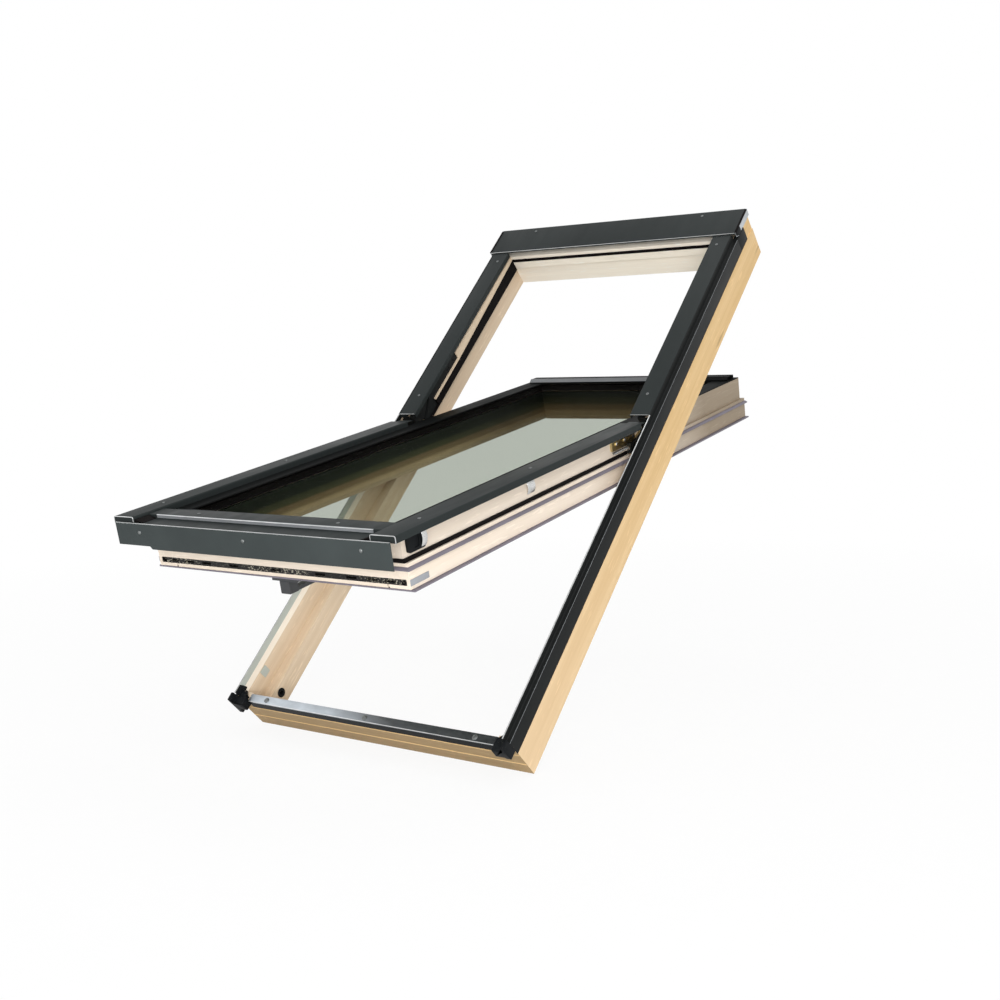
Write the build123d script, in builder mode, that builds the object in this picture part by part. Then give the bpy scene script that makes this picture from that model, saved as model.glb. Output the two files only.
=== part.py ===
from build123d import *
import os
from math import cos, radians, sin, sqrt

os.makedirs("parts", exist_ok=True)

# A centre-pivot roof window. Every piece is drawn with the sash closed and the window flat:
# x across, y up the slope, z out of the roof, with z = 0 at the outer face of the frame timbers.
# At the end the frame is tilted to the roof pitch, and the sash is swung open on its curved hinges.

# Overall sizes
frame_width = 780
frame_length = 1610
frame_depth = 110
roof_pitch_angle = 45.0
open_angle = 34.6

# Centre of the curved hinges: up from the middle of the window, and out from the covers
pivot_up = 79
pivot_height = 67

# Frame timbers
jamb_thickness = 40
head_thickness = 63
sill_room_thickness = 31
sill_outer_thickness = 15
stop_width = 14
stop_depth = 42
timber_edge = 2
jamb_lip_height = 8.5
rebate_depth = 57
rebate_gap = 2
sill_bead_depth = 2.5
sill_bead_width = 4
sill_bead_shares = (1 / 3, 2 / 3)

# Sheet metal on the frame
sheet = 1.5
flashing_drop = 29
flashing_inset = 11.5
flashing_tail = 49
cover_height = 26
cover_inset = 14
cover_width = 52
cover_inner_drop = 12.5
cover_outer_drop = 12
cover_foot_inset = 3.5
cover_lap = 1.5
hood_height = 29
hood_length = 99
hood_overhang = 10
hood_front_drop = 12
hood_back_drop = 20
hood_gap = 2
end_plate = 2
end_plate_inset = 12
end_plate_gap = 0.4
sill_strip_overhang = 5
sill_strip_lip = 14

# Corner pieces at the foot of the jambs
corner_reach = 21
corner_lap = 19
corner_drop = 35
corner_height = 10
corner_horn_height = 24
corner_horn_width = 8
corner_horn_slope = 2.5
corner_round = 14
corner_gap = 2

# Seals
gasket_rise = 11
gasket_depth = 4.5
gasket_lip = 2
gasket_lip_height = 17
gasket_lip_rise = 103
head_lip_height = 6
head_lip_drop = 14
gasket_corner = 18
outer_seal_reach = 7
outer_seal_foot_reach = 6
outer_seal_drop = 7
outer_seal_depth = 6
inner_seal_reach = 7
inner_seal_foot_inset = 2
inner_seal_width = 17
inner_seal_foot_width = 13
inner_seal_depth = 5
groove_gasket_height = 8
groove_gasket_thickness = 4
groove_gasket_foot = 2
groove_gasket_gap = 9

# Sash timbers
side_gap = 10
sash_step = 9
stile_width = 47
sash_height = 10
room_inset = 12
shoulder_gap = 5
sash_foot_gap = 33
bevel_width = 6
bevel_height = 12

# Glass unit
glass_seat_width = 14
pane = 4
pane_space = 16
pane_gap = 2
spacer_width = 13
glazing_gasket_width = 6
glazing_gasket_height = 2

# Sheet metal on the sash
capping = 2
capping_lap = 8
top_ridge_inset = 9
top_ridge_setback = 13
top_ridge_width = 32
top_ridge_height = 10
top_ridge_slope = 8
raised_inset = 14
raised_width = 58
raised_round = 4
raised_gap = 4
raised_overhang = 31
ridge_setback = 47
ridge_height = 22
ridge_width = 42
ridge_slope = 8
cladding_step = 2
cladding_gap = 0.5
flange_drop = 25
apron_inset = 23
apron_overhang = 37
apron_height = 15
apron_drop = 53
apron_trim_width = 100
apron_trim_height = 6

# Curved hinges
track_radius = 125
tongue_width = 8
tongue_clearance = 0.5
track_wall = 7
track_thickness = 10
groove_depth = 6.5
track_low_angle = -42
track_high_angle = 2
groove_low_angle = -44
groove_high_angle = 47.5
tongue_low_angle = 10
tongue_high_angle = 46
track_length = 256
track_deep_length = 101
track_shallow_drop = 20
track_gap = 0.4
track_height = 14
runner_thickness = 5.5
tongue_reach = 9.5
runner_wall = 5.5
runner_arm_length = 79
runner_arm_lap = 31
runner_arm_width = 30
runner_arm_setback = 5
track_hole_radius = 4
track_hole_setback = 20
track_slot_setback = 53
track_slot_length = 16
track_slot_width = 6
track_mark_drop = 10
track_mark_depth = 2

# Side bolt, its guide and its socket
bolt_setback = 36
bolt_rise = 21
bolt_radius = 5
bolt_fit = 0.1
bolt_rest_inset = 1
bolt_tail_length = 34
bolt_travel = 22
bolt_pin_radius = 3
bolt_pin_setback = 6
bolt_pin_gap = 0.5
bolt_knob_radius = 7
bolt_knob_gap = 3
bolt_knob_height = 8
bolt_tail_gap = 2
guide_width = 17
guide_margin = 7
guide_thickness = 1.5
socket_bore_radius = 5.6
socket_radius = 9
socket_flange_radius = 11.5
socket_flange = 1.5
socket_depth = 26
bush_fit = 0.1

# Keep plates on the jambs
keep_plate_setback = 57
keep_plate_drop = 22
keep_plate_size = 22
keep_plate_round = 2
keep_plate_thickness = 1.5

# Lock in the foot of the sash
lock_rise = 13
lock_height = 12
lock_depth = 11
lock_wall = 1.2
lock_end_gap = 8
slider_end_gap = 14
slider_gap = 0.4
slider_slot_height = 5
slider_slot_length = 26
slider_slot_shares = (-0.92, -0.78, -0.62, -0.37, 0, 0.37, 0.62, 0.78, 0.92)
lock_plate_length = 55
lock_plate_short_length = 26
lock_plate_thickness = 1.5

# Handle
handle_setback = 29
handle_base_length = 70
handle_base_width = 24
handle_base_height = 16
handle_round = 4
spindle_radius = 4
spindle_fit = 0.08
spindle_length = 11
spindle_gap = 1
hub_width = 25
hub_gap = 0.4
hub_height = 27
lever_reach = 115
lever_width = 20
lever_tip_width = 15
lever_thickness = 9
lever_round = 2.5

# Brackets and clips on the stiles
bracket_setback = 12
bracket_length = 52
bracket_drop = 6
bracket_height = 37
bracket_thickness = 6
bracket_pocket_depth = 3
bracket_wall = 6
clip_length = 12
clip_thickness = 3
clip_inset = 4
mid_clip_setback = 433
mid_clip_length = 30
mid_clip_drop = 28
mid_clip_height = 26
mid_clip_thickness = 3.5
mid_clip_round = 3

# Screws and rivets
screw_radius = 4
screw_head = 1.6
screw_bevel = 0.8
rivet_radius = 5
rivet_head = 2.4
rivet_bevel = 1.4
hood_screw_inset = 125
hood_screw_setback = 16
side_screw_inset = 44
cover_screw_rise = 67
cover_screw_setback = 36
cladding_screw_setback = 108
cladding_screw_spacing = 375
sill_screw_inset = 54
sill_screw_setback = 2
rail_screw_inset = 96
rivet_inset = 70
rivet_drop = 19

# One overrun serves every cut
overrun = 5

# Places in the frame that follow from the sizes
half_width = frame_width / 2
half_length = frame_length / 2
jamb_inner = half_width - jamb_thickness
head_inner = half_length - head_thickness
stop_face = jamb_inner - stop_width
head_stop = head_inner - stop_width
flashing_face = half_width - timber_edge
flashing_up = half_width - flashing_inset
rebate_face = flashing_up - sheet
ledge_out = jamb_lip_height + sheet
cover_edge = half_width - cover_inset
cover_inner = cover_edge - cover_width
hood_half = flashing_face - end_plate
hood_back = half_length + hood_overhang
hood_low = hood_back - hood_length
cover_top = hood_low - hood_gap
flashing_top = cover_top + flashing_tail
pivot_out = cover_height + pivot_height
track_top = pivot_up + track_length
track_deep_top = pivot_up + track_deep_length

# Places in the sash
sash_wide = jamb_inner - side_gap
sash_narrow = sash_wide - sash_step
sash_inner = sash_narrow - stile_width
top_wide = head_inner - side_gap
top_narrow = top_wide - sash_step
top_inner = top_narrow - stile_width
sash_low = -half_length + sash_foot_gap
bottom_inner = sash_low + stile_width
room_out = room_inset - frame_depth
shoulder_out = -stop_depth - shoulder_gap
glass_seat = sash_inner + glass_seat_width
glass_top = top_inner + glass_seat_width
glass_low = bottom_inner - glass_seat_width
glass_floor = sash_height - glazing_gasket_height - 2 * pane - pane_space
capping_out = sash_height + capping
capping_inner = sash_inner - capping_lap
capping_low = bottom_inner + capping_lap
raised_edge = half_width - raised_inset
raised_inner = raised_edge - raised_width
raised_top = pivot_up - raised_gap
raised_low = -half_length - raised_overhang
apron_half = half_width - apron_inset
apron_low = -half_length - apron_overhang
apron_back = apron_low + sheet
ridge_low = apron_low + ridge_setback
ridge_high = ridge_low + ridge_width

# Places of the lock, the side bolt and the handle
lock_out = room_out + lock_rise
lock_low = lock_out - lock_height / 2
lock_high = lock_out + lock_height / 2
lock_back = sash_low + lock_depth
lock_half = sash_wide - lock_end_gap
slider_half = lock_half - slider_end_gap
bolt_up = sash_low + bolt_setback
bolt_out = room_out + bolt_rise
bolt_tail = -sash_inner + bolt_tail_length
bolt_pin = bolt_tail - bolt_pin_setback
handle_up = sash_low + handle_setback


def folded_sheet(path, thickness):
    """Outline of a sheet bent along a path, with its thickness to the left of the path."""
    runs = [(b[0] - a[0], b[1] - a[1]) for a, b in zip(path, path[1:])]
    lengths = [sqrt(u * u + v * v) for u, v in runs]
    normals = [(-v / n, u / n) for (u, v), n in zip(runs, lengths)]
    before = [normals[0]] + normals
    after = normals + [normals[-1]]
    inside = []
    for (u, v), (a, b), (c, d) in zip(path, before, after):
        reach = thickness / (1 + a * c + b * d)
        inside.append((u + reach * (a + c), v + reach * (b + d)))
    return list(path) + inside[::-1]


def on_side(outline, side):
    """The outline of the right-hand piece, or of its left-hand twin when side is -1."""
    return [(side * u, v) for u, v in outline]


def bar_up(outline, low, high):
    """A bar of one section (across, out) that runs up the slope from low to high."""
    with BuildPart() as bar:
        with BuildSketch(Plane.XZ.offset(-high)):
            with BuildLine():
                Polyline(*outline, close=True)
            make_face()
        extrude(amount=high - low)
    return bar


def bar_across(outline, left, right):
    """A bar of one section (up the slope, out) that runs across the window."""
    with BuildPart() as bar:
        with BuildSketch(Plane.YZ.offset(left)):
            with BuildLine():
                Polyline(*outline, close=True)
            make_face()
        extrude(amount=right - left)
    return bar


def block(across, up, out):
    """A plain block between two places across, two up the slope and two out of the roof."""
    middle = [(low + high) / 2 for low, high in (across, up, out)]
    size = [abs(high - low) for low, high in (across, up, out)]
    with BuildPart() as solid:
        with Locations(tuple(middle)):
            Box(*size)
    return solid


def rod(up, out, radius, start, end):
    """A round bar that runs across the window from start to end."""
    with BuildPart() as bar:
        with BuildSketch(Plane.YZ.offset(start)):
            with Locations((up, out)):
                Circle(radius)
        extrude(amount=end - start)
    return bar


def curved_bar(inner, outer, low_angle, high_angle, start, end):
    """A ring sector about the hinge centre, its angles counted from straight in towards the top."""
    def at(radius, angle):
        turn = radians(angle)
        return (pivot_up + radius * sin(turn), pivot_out - radius * cos(turn))

    middle = (low_angle + high_angle) / 2
    with BuildPart() as bar:
        with BuildSketch(Plane.YZ.offset(start)):
            with BuildLine():
                ThreePointArc(at(outer, low_angle), at(outer, middle), at(outer, high_angle))
                Line(at(outer, high_angle), at(inner, high_angle))
                ThreePointArc(at(inner, high_angle), at(inner, middle), at(inner, low_angle))
                Line(at(inner, low_angle), at(outer, low_angle))
            make_face()
        extrude(amount=end - start)
    return bar


def ring(outer, inner, low, high):
    """A flat rectangular ring, outer and inner given as (half width, foot, top)."""
    with BuildPart() as band:
        with BuildSketch(Plane.XY.offset(low)):
            for (half, foot, top), mode in ((outer, Mode.ADD), (inner, Mode.SUBTRACT)):
                with Locations((0, (foot + top) / 2)):
                    Rectangle(2 * half, top - foot, mode=mode)
        extrude(amount=high - low)
    return band


def studs(places, plane, radius, height, bevel):
    """Bevelled heads of screws or rivets, standing on a plane at the given places."""
    upward = Axis(plane.origin, plane.z_dir)
    with BuildPart() as heads:
        with BuildSketch(plane):
            with Locations(*places):
                Circle(radius)
        extrude(amount=height)
        tops = heads.faces().filter_by(upward).sort_by(upward)[-len(places):]
        chamfer(tops.edges(), bevel)
    return heads


# The frame stands in the roof at its pitch, and the sash is swung about the hinge centre.
in_roof = Location((0, 0, 0), (roof_pitch_angle, 0, 0))
hinge_centre = Location((0, pivot_up, pivot_out))
swing = Location((0, 0, 0), (-open_angle, 0, 0))
in_sash = in_roof * hinge_centre * swing * hinge_centre.inverse()


def hand_over(piece, name, place):
    """Set a finished piece in its place, name it and write it."""
    placed = piece.part.moved(place)
    placed.label = name
    export_step(placed, f"parts/{name}.step")


# Jambs: a lip under the flashing, a rebate inside the lower half and a stop beside the upper half
def make_jamb(side):
    section = [
        (jamb_inner, 0),
        (rebate_face, 0),
        (rebate_face, jamb_lip_height),
        (flashing_face, jamb_lip_height),
        (flashing_face, -flashing_drop),
        (half_width, -flashing_drop),
        (half_width, -frame_depth),
        (jamb_inner + timber_edge, -frame_depth),
        (jamb_inner, -frame_depth + timber_edge),
    ]
    body = bar_up(on_side(section, side), -half_length, half_length)
    rebate = block(
        (side * (jamb_inner - overrun), side * rebate_face),
        (-half_length + corner_lap, pivot_up - rebate_gap),
        (-rebate_depth, overrun),
    )
    stop_across = (side * stop_face, side * jamb_inner)
    stop = block(stop_across, (track_top, head_stop), (-stop_depth, 0))
    low_stop = block(stop_across, (track_deep_top, track_top), (-stop_depth, -track_shallow_drop - track_gap))
    socket_hole = rod(bolt_up, bolt_out, socket_radius + bush_fit, -jamb_inner - socket_depth, -jamb_inner)
    with BuildPart() as jamb:
        add(body.part)
        add(rebate.part, mode=Mode.SUBTRACT)
        add(stop.part)
        add(low_stop.part)
        if side < 0:
            add(socket_hole.part, mode=Mode.SUBTRACT)
    return jamb


hand_over(make_jamb(-1), "left_jamb", in_roof)
hand_over(make_jamb(1), "right_jamb", in_roof)

# Head rail, with the stop that the top of the sash closes against
head_section = [
    (half_length, 0),
    (head_stop, 0),
    (head_stop, -stop_depth),
    (head_inner, -stop_depth),
    (head_inner, -frame_depth + timber_edge),
    (head_inner + timber_edge, -frame_depth),
    (half_length, -frame_depth),
]
hand_over(bar_across(head_section, -jamb_inner, jamb_inner), "head_rail", in_roof)

# Sill rail: splayed inside so that the sash can swing out, with two fine lines along its front
sill_section = [(-half_length, 0)]
for share in sill_bead_shares:
    bead_out = -frame_depth * share
    sill_section.append((-half_length, bead_out + sill_bead_width / 2))
    sill_section.append((-half_length + sill_bead_depth, bead_out))
    sill_section.append((-half_length, bead_out - sill_bead_width / 2))
sill_section.append((-half_length, -frame_depth))
sill_section.append((-half_length + sill_room_thickness, -frame_depth))
sill_section.append((-half_length + sill_outer_thickness, 0))
hand_over(bar_across(sill_section, -jamb_inner, jamb_inner), "sill_rail", in_roof)

# Upper covers: one sheet over each jamb, turned down at both edges onto the timber
cover_foot = cover_edge - cover_foot_inset
cover_section = folded_sheet(
    [
        (cover_inner, cover_height - cover_inner_drop),
        (cover_inner, cover_height),
        (cover_edge, cover_height),
        (cover_edge, cover_height - cover_outer_drop),
        (cover_foot, cover_height - cover_outer_drop),
        (cover_foot, 0),
    ],
    -sheet,
)
for side, name in ((-1, "left_upper_cover"), (1, "right_upper_cover")):
    upper_cover = bar_up(on_side(cover_section, side), pivot_up - cover_lap, cover_top)
    hand_over(upper_cover, name, in_roof)

# Side flashings: an upstand, a ledge on the lip of the jamb and a drop outside it. Only the ledge and
# the drop run on under the hood.
flashing_edge = flashing_face + sheet
tail_path = [(rebate_face, ledge_out), (flashing_edge, ledge_out), (flashing_edge, -flashing_drop)]
tail_section = folded_sheet(tail_path, -sheet)
flashing_path = [(flashing_up, cover_height), (flashing_up, ledge_out)] + tail_path[1:]
flashing_section = folded_sheet(flashing_path, -sheet)
for side, name in ((-1, "left_side_flashing"), (1, "right_side_flashing")):
    upstand = bar_up(on_side(flashing_section, side), -half_length, cover_top)
    tail = bar_up(on_side(tail_section, side), cover_top, flashing_top)
    with BuildPart() as side_flashing:
        add(upstand.part)
        add(tail.part)
    hand_over(side_flashing, name, in_roof)

# Hood over the head: a folded tray that hangs between two galvanised end plates on the jambs
hood_section = folded_sheet(
    [
        (hood_low, hood_height - hood_front_drop),
        (hood_low, hood_height),
        (hood_back, hood_height),
        (hood_back, hood_height - hood_back_drop),
    ],
    -sheet,
)
hand_over(bar_across(hood_section, -hood_half, hood_half), "head_hood", in_roof)

end_section = [
    (hood_low, hood_height),
    (hood_back, hood_height),
    (hood_back, hood_height - hood_back_drop),
    (half_length, jamb_lip_height),
    (flashing_top + end_plate_gap, jamb_lip_height),
    (flashing_top + end_plate_gap, ledge_out + end_plate_gap),
    (hood_low + end_plate_inset, ledge_out + end_plate_gap),
    (hood_low, hood_height - hood_front_drop),
]
left_end = bar_across(end_section, -flashing_face, -hood_half)
right_end = bar_across(end_section, hood_half, flashing_face)
with BuildPart() as hood_ends:
    add(left_end.part)
    add(right_end.part)
hand_over(hood_ends, "hood_ends", in_roof)

# Sill flashing: a flat strip with its front edge turned down
strip_section = folded_sheet(
    [
        (-half_length + sill_outer_thickness, sheet),
        (-half_length - sill_strip_overhang, sheet),
        (-half_length - sill_strip_overhang, -sill_strip_lip),
    ],
    sheet,
)
hand_over(bar_across(strip_section, -jamb_inner, jamb_inner), "sill_flashing", in_roof)

# Corner pieces: a cap on the foot of each jamb, a horn beside the flashing and a hollowed tongue
corner_inner = jamb_inner + corner_gap
corner_cap_section = [
    (corner_inner, -corner_drop),
    (half_width, -corner_drop),
    (half_width, corner_horn_height),
    (half_width - corner_horn_width, corner_horn_height),
    (half_width - corner_horn_width - corner_horn_slope, corner_height),
    (corner_inner, corner_height),
]
tongue_edge = rebate_face - corner_gap
for side, name in ((-1, "left_sill_corner"), (1, "right_sill_corner")):
    cap = bar_up(on_side(corner_cap_section, side), -half_length - corner_reach, -half_length)
    tongue = block(
        (side * corner_inner, side * tongue_edge),
        (-half_length, -half_length + corner_lap),
        (0, corner_height),
    )
    with BuildPart() as sill_corner:
        add(cap.part)
        add(tongue.part)
        with BuildSketch(Plane.XY):
            with Locations((side * corner_inner, -half_length + corner_lap)):
                Circle(corner_round)
        extrude(amount=corner_height, mode=Mode.SUBTRACT)
    hand_over(sill_corner, name, in_roof)

# Frame gasket round the upper half: a band under the stop, with a lip on the face of the stop
gasket_face = stop_face - gasket_lip
gasket_head = head_stop - gasket_lip
gasket_low = pivot_up + gasket_rise
lip_out = gasket_lip_height - stop_depth
lip_low = pivot_up + gasket_lip_rise
head_lip_low = -head_lip_drop - head_lip_height
head_lip = block((-stop_face, stop_face), (gasket_head, head_stop), (head_lip_low, -head_lip_drop))
gasket_band = ring(
    (jamb_inner, gasket_low, head_inner),
    (gasket_face, gasket_low - overrun, gasket_head),
    -stop_depth - gasket_depth,
    -stop_depth,
)
with BuildPart() as frame_gasket:
    add(gasket_band.part)
    add(head_lip.part)
    for side in (-1, 1):
        lip_across = (side * gasket_face, side * stop_face)
        side_lip = block(lip_across, (lip_low, gasket_head), (-stop_depth, lip_out))
        corner_lip = block(lip_across, (head_stop - gasket_corner, head_stop), (-stop_depth, -head_lip_drop))
        add(side_lip.part)
        add(corner_lip.part)
hand_over(frame_gasket, "frame_gasket", in_roof)

# Hinge tracks: a plate on each jamb with a curved groove about the hinge centre
groove_inner = track_radius - tongue_width / 2 - tongue_clearance
groove_outer = track_radius + tongue_width / 2 + tongue_clearance
for side, name in ((-1, "left_hinge_track"), (1, "right_hinge_track")):
    back = side * jamb_inner
    front = side * (jamb_inner - track_thickness)
    groove_floor = front + side * groove_depth
    deep_plate = block((back, front), (pivot_up, track_deep_top), (track_gap - stop_depth, track_height))
    plate = block((back, front), (track_deep_top, track_top), (-track_shallow_drop, track_height))
    curve = curved_bar(
        groove_inner - track_wall, groove_outer + track_wall, track_low_angle, track_high_angle, back, front
    )
    groove = curved_bar(groove_inner, groove_outer, groove_low_angle, groove_high_angle, front, groove_floor)
    with BuildPart() as hinge_track:
        add(deep_plate.part)
        add(plate.part)
        add(curve.part)
        add(groove.part, mode=Mode.SUBTRACT)
        with BuildSketch(Plane.YZ.offset(front)):
            with Locations((track_top - track_hole_setback, -track_mark_drop)):
                Circle(track_hole_radius)
            with Locations((track_top - track_slot_setback, -track_mark_drop)):
                SlotOverall(track_slot_length, track_slot_width)
        extrude(amount=side * track_mark_depth, mode=Mode.SUBTRACT)
    hand_over(hinge_track, name, in_roof)

# Bolt socket in the left jamb, and a keep plate on each jamb
bush = rod(bolt_up, bolt_out, socket_radius, -jamb_inner - socket_depth, -jamb_inner)
flange = rod(bolt_up, bolt_out, socket_flange_radius, -jamb_inner, -jamb_inner + socket_flange)
bush_bore = rod(
    bolt_up,
    bolt_out,
    socket_bore_radius,
    -jamb_inner - socket_depth,
    -jamb_inner + socket_flange,
)
with BuildPart() as bolt_socket:
    add(bush.part)
    add(flange.part)
    add(bush_bore.part, mode=Mode.SUBTRACT)
hand_over(bolt_socket, "bolt_socket", in_roof)

with BuildPart() as keep_plates:
    for side in (-1, 1):
        with BuildSketch(Plane.YZ.offset(side * rebate_face)):
            with Locations((sash_low + keep_plate_setback, -keep_plate_drop)):
                RectangleRounded(keep_plate_size, keep_plate_size, keep_plate_round)
        extrude(amount=-side * keep_plate_thickness)
hand_over(keep_plates, "keep_plates", in_roof)


# Sash timbers: stiles run the full length, rails stand between them
def make_stile(side):
    section = [
        (sash_inner, sash_height),
        (sash_narrow, sash_height),
        (sash_narrow, shoulder_out),
        (sash_wide, shoulder_out),
        (sash_wide, room_out),
        (sash_inner + bevel_width, room_out),
        (sash_inner, room_out + bevel_height),
    ]
    bar = bar_up(on_side(section, side), sash_low, top_wide)
    seat = block(
        (side * (sash_inner - overrun), side * glass_seat),
        (glass_low, glass_top),
        (glass_floor, sash_height + overrun),
    )
    end_step = block(
        (side * (sash_inner - overrun), side * (sash_wide + overrun)),
        (top_narrow, top_wide + overrun),
        (shoulder_out, sash_height + overrun),
    )
    lock_slot = block(
        (side * (sash_inner - overrun), side * lock_half),
        (sash_low - overrun, lock_back),
        (lock_low, lock_high),
    )
    bolt_hole = rod(bolt_up, bolt_out, bolt_radius + bolt_fit, -sash_wide - overrun, -sash_inner + overrun)
    with BuildPart() as stile:
        add(bar.part)
        add(seat.part, mode=Mode.SUBTRACT)
        add(end_step.part, mode=Mode.SUBTRACT)
        add(lock_slot.part, mode=Mode.SUBTRACT)
        if side < 0:
            add(bolt_hole.part, mode=Mode.SUBTRACT)
    return stile


hand_over(make_stile(-1), "left_stile", in_sash)
hand_over(make_stile(1), "right_stile", in_sash)

top_section = [
    (glass_top, sash_height),
    (top_narrow, sash_height),
    (top_narrow, shoulder_out),
    (top_wide, shoulder_out),
    (top_wide, room_out),
    (top_inner + bevel_width, room_out),
    (top_inner, room_out + bevel_height),
    (top_inner, glass_floor),
    (glass_top, glass_floor),
]
hand_over(bar_across(top_section, -sash_inner, sash_inner), "top_rail", in_sash)

# Bottom rail, with the slot of the lock in its end and the bore and slot of the side bolt
bottom_section = [
    (glass_low, sash_height),
    (sash_low, sash_height),
    (sash_low, lock_high),
    (lock_back, lock_high),
    (lock_back, lock_low),
    (sash_low, lock_low),
    (sash_low, room_out),
    (bottom_inner - bevel_width, room_out),
    (bottom_inner, room_out + bevel_height),
    (bottom_inner, glass_floor),
    (glass_low, glass_floor),
]
pin_slot_low = bolt_pin - bolt_travel - bolt_pin_radius - bolt_pin_gap
pin_slot_high = bolt_pin + bolt_pin_radius + bolt_pin_gap
pin_slot_half = bolt_pin_radius + bolt_pin_gap
rail_bar = bar_across(bottom_section, -sash_inner, sash_inner)
rail_bore = rod(bolt_up, bolt_out, bolt_radius + bolt_fit, -sash_inner, bolt_tail + bolt_tail_gap)
pin_slot = block(
    (pin_slot_low, pin_slot_high),
    (bolt_up - pin_slot_half, bolt_up + pin_slot_half),
    (room_out - overrun, bolt_out),
)
with BuildPart() as bottom_rail:
    add(rail_bar.part)
    add(rail_bore.part, mode=Mode.SUBTRACT)
    add(pin_slot.part, mode=Mode.SUBTRACT)
hand_over(bottom_rail, "bottom_rail", in_sash)

# Glass unit: two panes on a spacer, under a gasket
pane_half = glass_seat - pane_gap
pane_low = glass_low + pane_gap
pane_top = glass_top - pane_gap
outer_pane_floor = glass_floor + pane + pane_space
for name, floor in (("inner_pane", glass_floor), ("outer_pane", outer_pane_floor)):
    glass_pane = block((-pane_half, pane_half), (pane_low, pane_top), (floor, floor + pane))
    hand_over(glass_pane, name, in_sash)

glass_spacer = ring(
    (pane_half, pane_low, pane_top),
    (pane_half - spacer_width, pane_low + spacer_width, pane_top - spacer_width),
    glass_floor + pane,
    outer_pane_floor,
)
hand_over(glass_spacer, "glass_spacer", in_sash)

glazing_gasket = ring(
    (sash_inner, bottom_inner, top_inner),
    (
        sash_inner - glazing_gasket_width,
        bottom_inner + glazing_gasket_width,
        top_inner - glazing_gasket_width,
    ),
    sash_height - glazing_gasket_height,
    sash_height,
)
hand_over(glazing_gasket, "glazing_gasket", in_sash)

# Base cappings: flat strips over the timbers that lap onto the glass, with a ridge along the top
side_capping_section = [
    (capping_inner, sash_height),
    (sash_narrow, sash_height),
    (sash_narrow, capping_out),
    (capping_inner + capping, capping_out),
]
for side, name in ((-1, "left_capping"), (1, "right_capping")):
    hand_over(bar_up(on_side(side_capping_section, side), capping_low, top_narrow), name, in_sash)

top_capping_section = [
    (top_inner - capping_lap, sash_height),
    (top_narrow, sash_height),
    (top_narrow, capping_out),
    (top_inner - capping_lap + capping, capping_out),
]
top_strip = bar_across(top_capping_section, -capping_inner, capping_inner)
top_ridge_half = sash_narrow - top_ridge_inset
top_ridge_back = top_narrow - top_ridge_setback
top_ridge_front = top_ridge_back - top_ridge_width
top_ridge_out = capping_out + top_ridge_height
top_ridge_section = folded_sheet(
    [
        (top_ridge_front - top_ridge_slope, capping_out + sheet),
        (top_ridge_front, top_ridge_out),
        (top_ridge_back, top_ridge_out),
        (top_ridge_back, capping_out),
    ],
    -sheet,
)
top_ridge = bar_across(top_ridge_section, -top_ridge_half, top_ridge_half)
with BuildPart() as top_capping:
    add(top_strip.part)
    add(top_ridge.part)
hand_over(top_capping, "top_capping", in_sash)

# Raised claddings over the lower half: round-shouldered shells that are open underneath
for side, name in ((-1, "left_raised_cladding"), (1, "right_raised_cladding")):
    hull = block(
        (side * raised_inner, side * raised_edge),
        (raised_low, raised_top),
        (capping_out, cover_height),
    )
    with BuildPart() as raised_cladding:
        add(hull.part)
        fillet(raised_cladding.faces().sort_by(Axis.Z)[-1].edges().filter_by(Axis.Y), raised_round)
        offset(amount=-sheet, openings=raised_cladding.faces().sort_by(Axis.Z)[0], mode=Mode.REPLACE)
    hand_over(raised_cladding, name, in_sash)

# Bottom cladding: folded from the glass edge over a ridge to a flange behind the apron
cladding_out = sash_height + sheet
cladding_half = raised_inner - cladding_gap
cladding_section = folded_sheet(
    [
        (capping_low, cladding_out),
        (ridge_high + ridge_slope, cladding_out),
        (ridge_high, ridge_height),
        (ridge_low, ridge_height),
        (ridge_low, cladding_out + cladding_step),
        (apron_back, cladding_out + cladding_step),
        (apron_back, cladding_out + cladding_step - flange_drop),
    ],
    sheet,
)
hand_over(bar_across(cladding_section, -cladding_half, cladding_half), "bottom_cladding", in_sash)

# Apron: a plate across the foot of the sash, trimmed along its left end
apron_low_out = apron_height - apron_drop
apron_outline = [
    (-apron_half, apron_height),
    (apron_half, apron_height),
    (apron_half, apron_low_out),
    (-apron_half + apron_trim_width, apron_low_out),
    (-apron_half + apron_trim_width - apron_trim_height, apron_low_out + apron_trim_height),
    (-apron_half, apron_low_out + apron_trim_height),
]
hand_over(bar_up(apron_outline, apron_low, apron_back), "apron", in_sash)

# Lip seals round the wide part of the sash, and the dark strip in the step of its lower half
outer_lip_seal = ring(
    (sash_wide + outer_seal_reach, sash_low - outer_seal_foot_reach, top_wide + outer_seal_reach),
    (sash_wide, sash_low, top_wide),
    shoulder_out - outer_seal_drop - outer_seal_depth,
    shoulder_out - outer_seal_drop,
)
hand_over(outer_lip_seal, "outer_lip_seal", in_sash)

inner_seal_edge = sash_wide + inner_seal_reach
inner_seal_top = top_wide + inner_seal_reach
inner_seal_low = sash_low + inner_seal_foot_inset
inner_lip_seal = ring(
    (inner_seal_edge, inner_seal_low, inner_seal_top),
    (
        inner_seal_edge - inner_seal_width,
        inner_seal_low + inner_seal_foot_width,
        inner_seal_top - inner_seal_width,
    ),
    room_out - inner_seal_depth,
    room_out,
)
hand_over(inner_lip_seal, "inner_lip_seal", in_sash)

groove_gasket_top = pivot_up - groove_gasket_gap
groove_gasket = ring(
    (sash_narrow + groove_gasket_thickness, sash_low - groove_gasket_foot, groove_gasket_top),
    (sash_narrow, sash_low, groove_gasket_top + overrun),
    shoulder_out,
    shoulder_out + groove_gasket_height,
)
hand_over(groove_gasket, "groove_gasket", in_sash)

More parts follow.
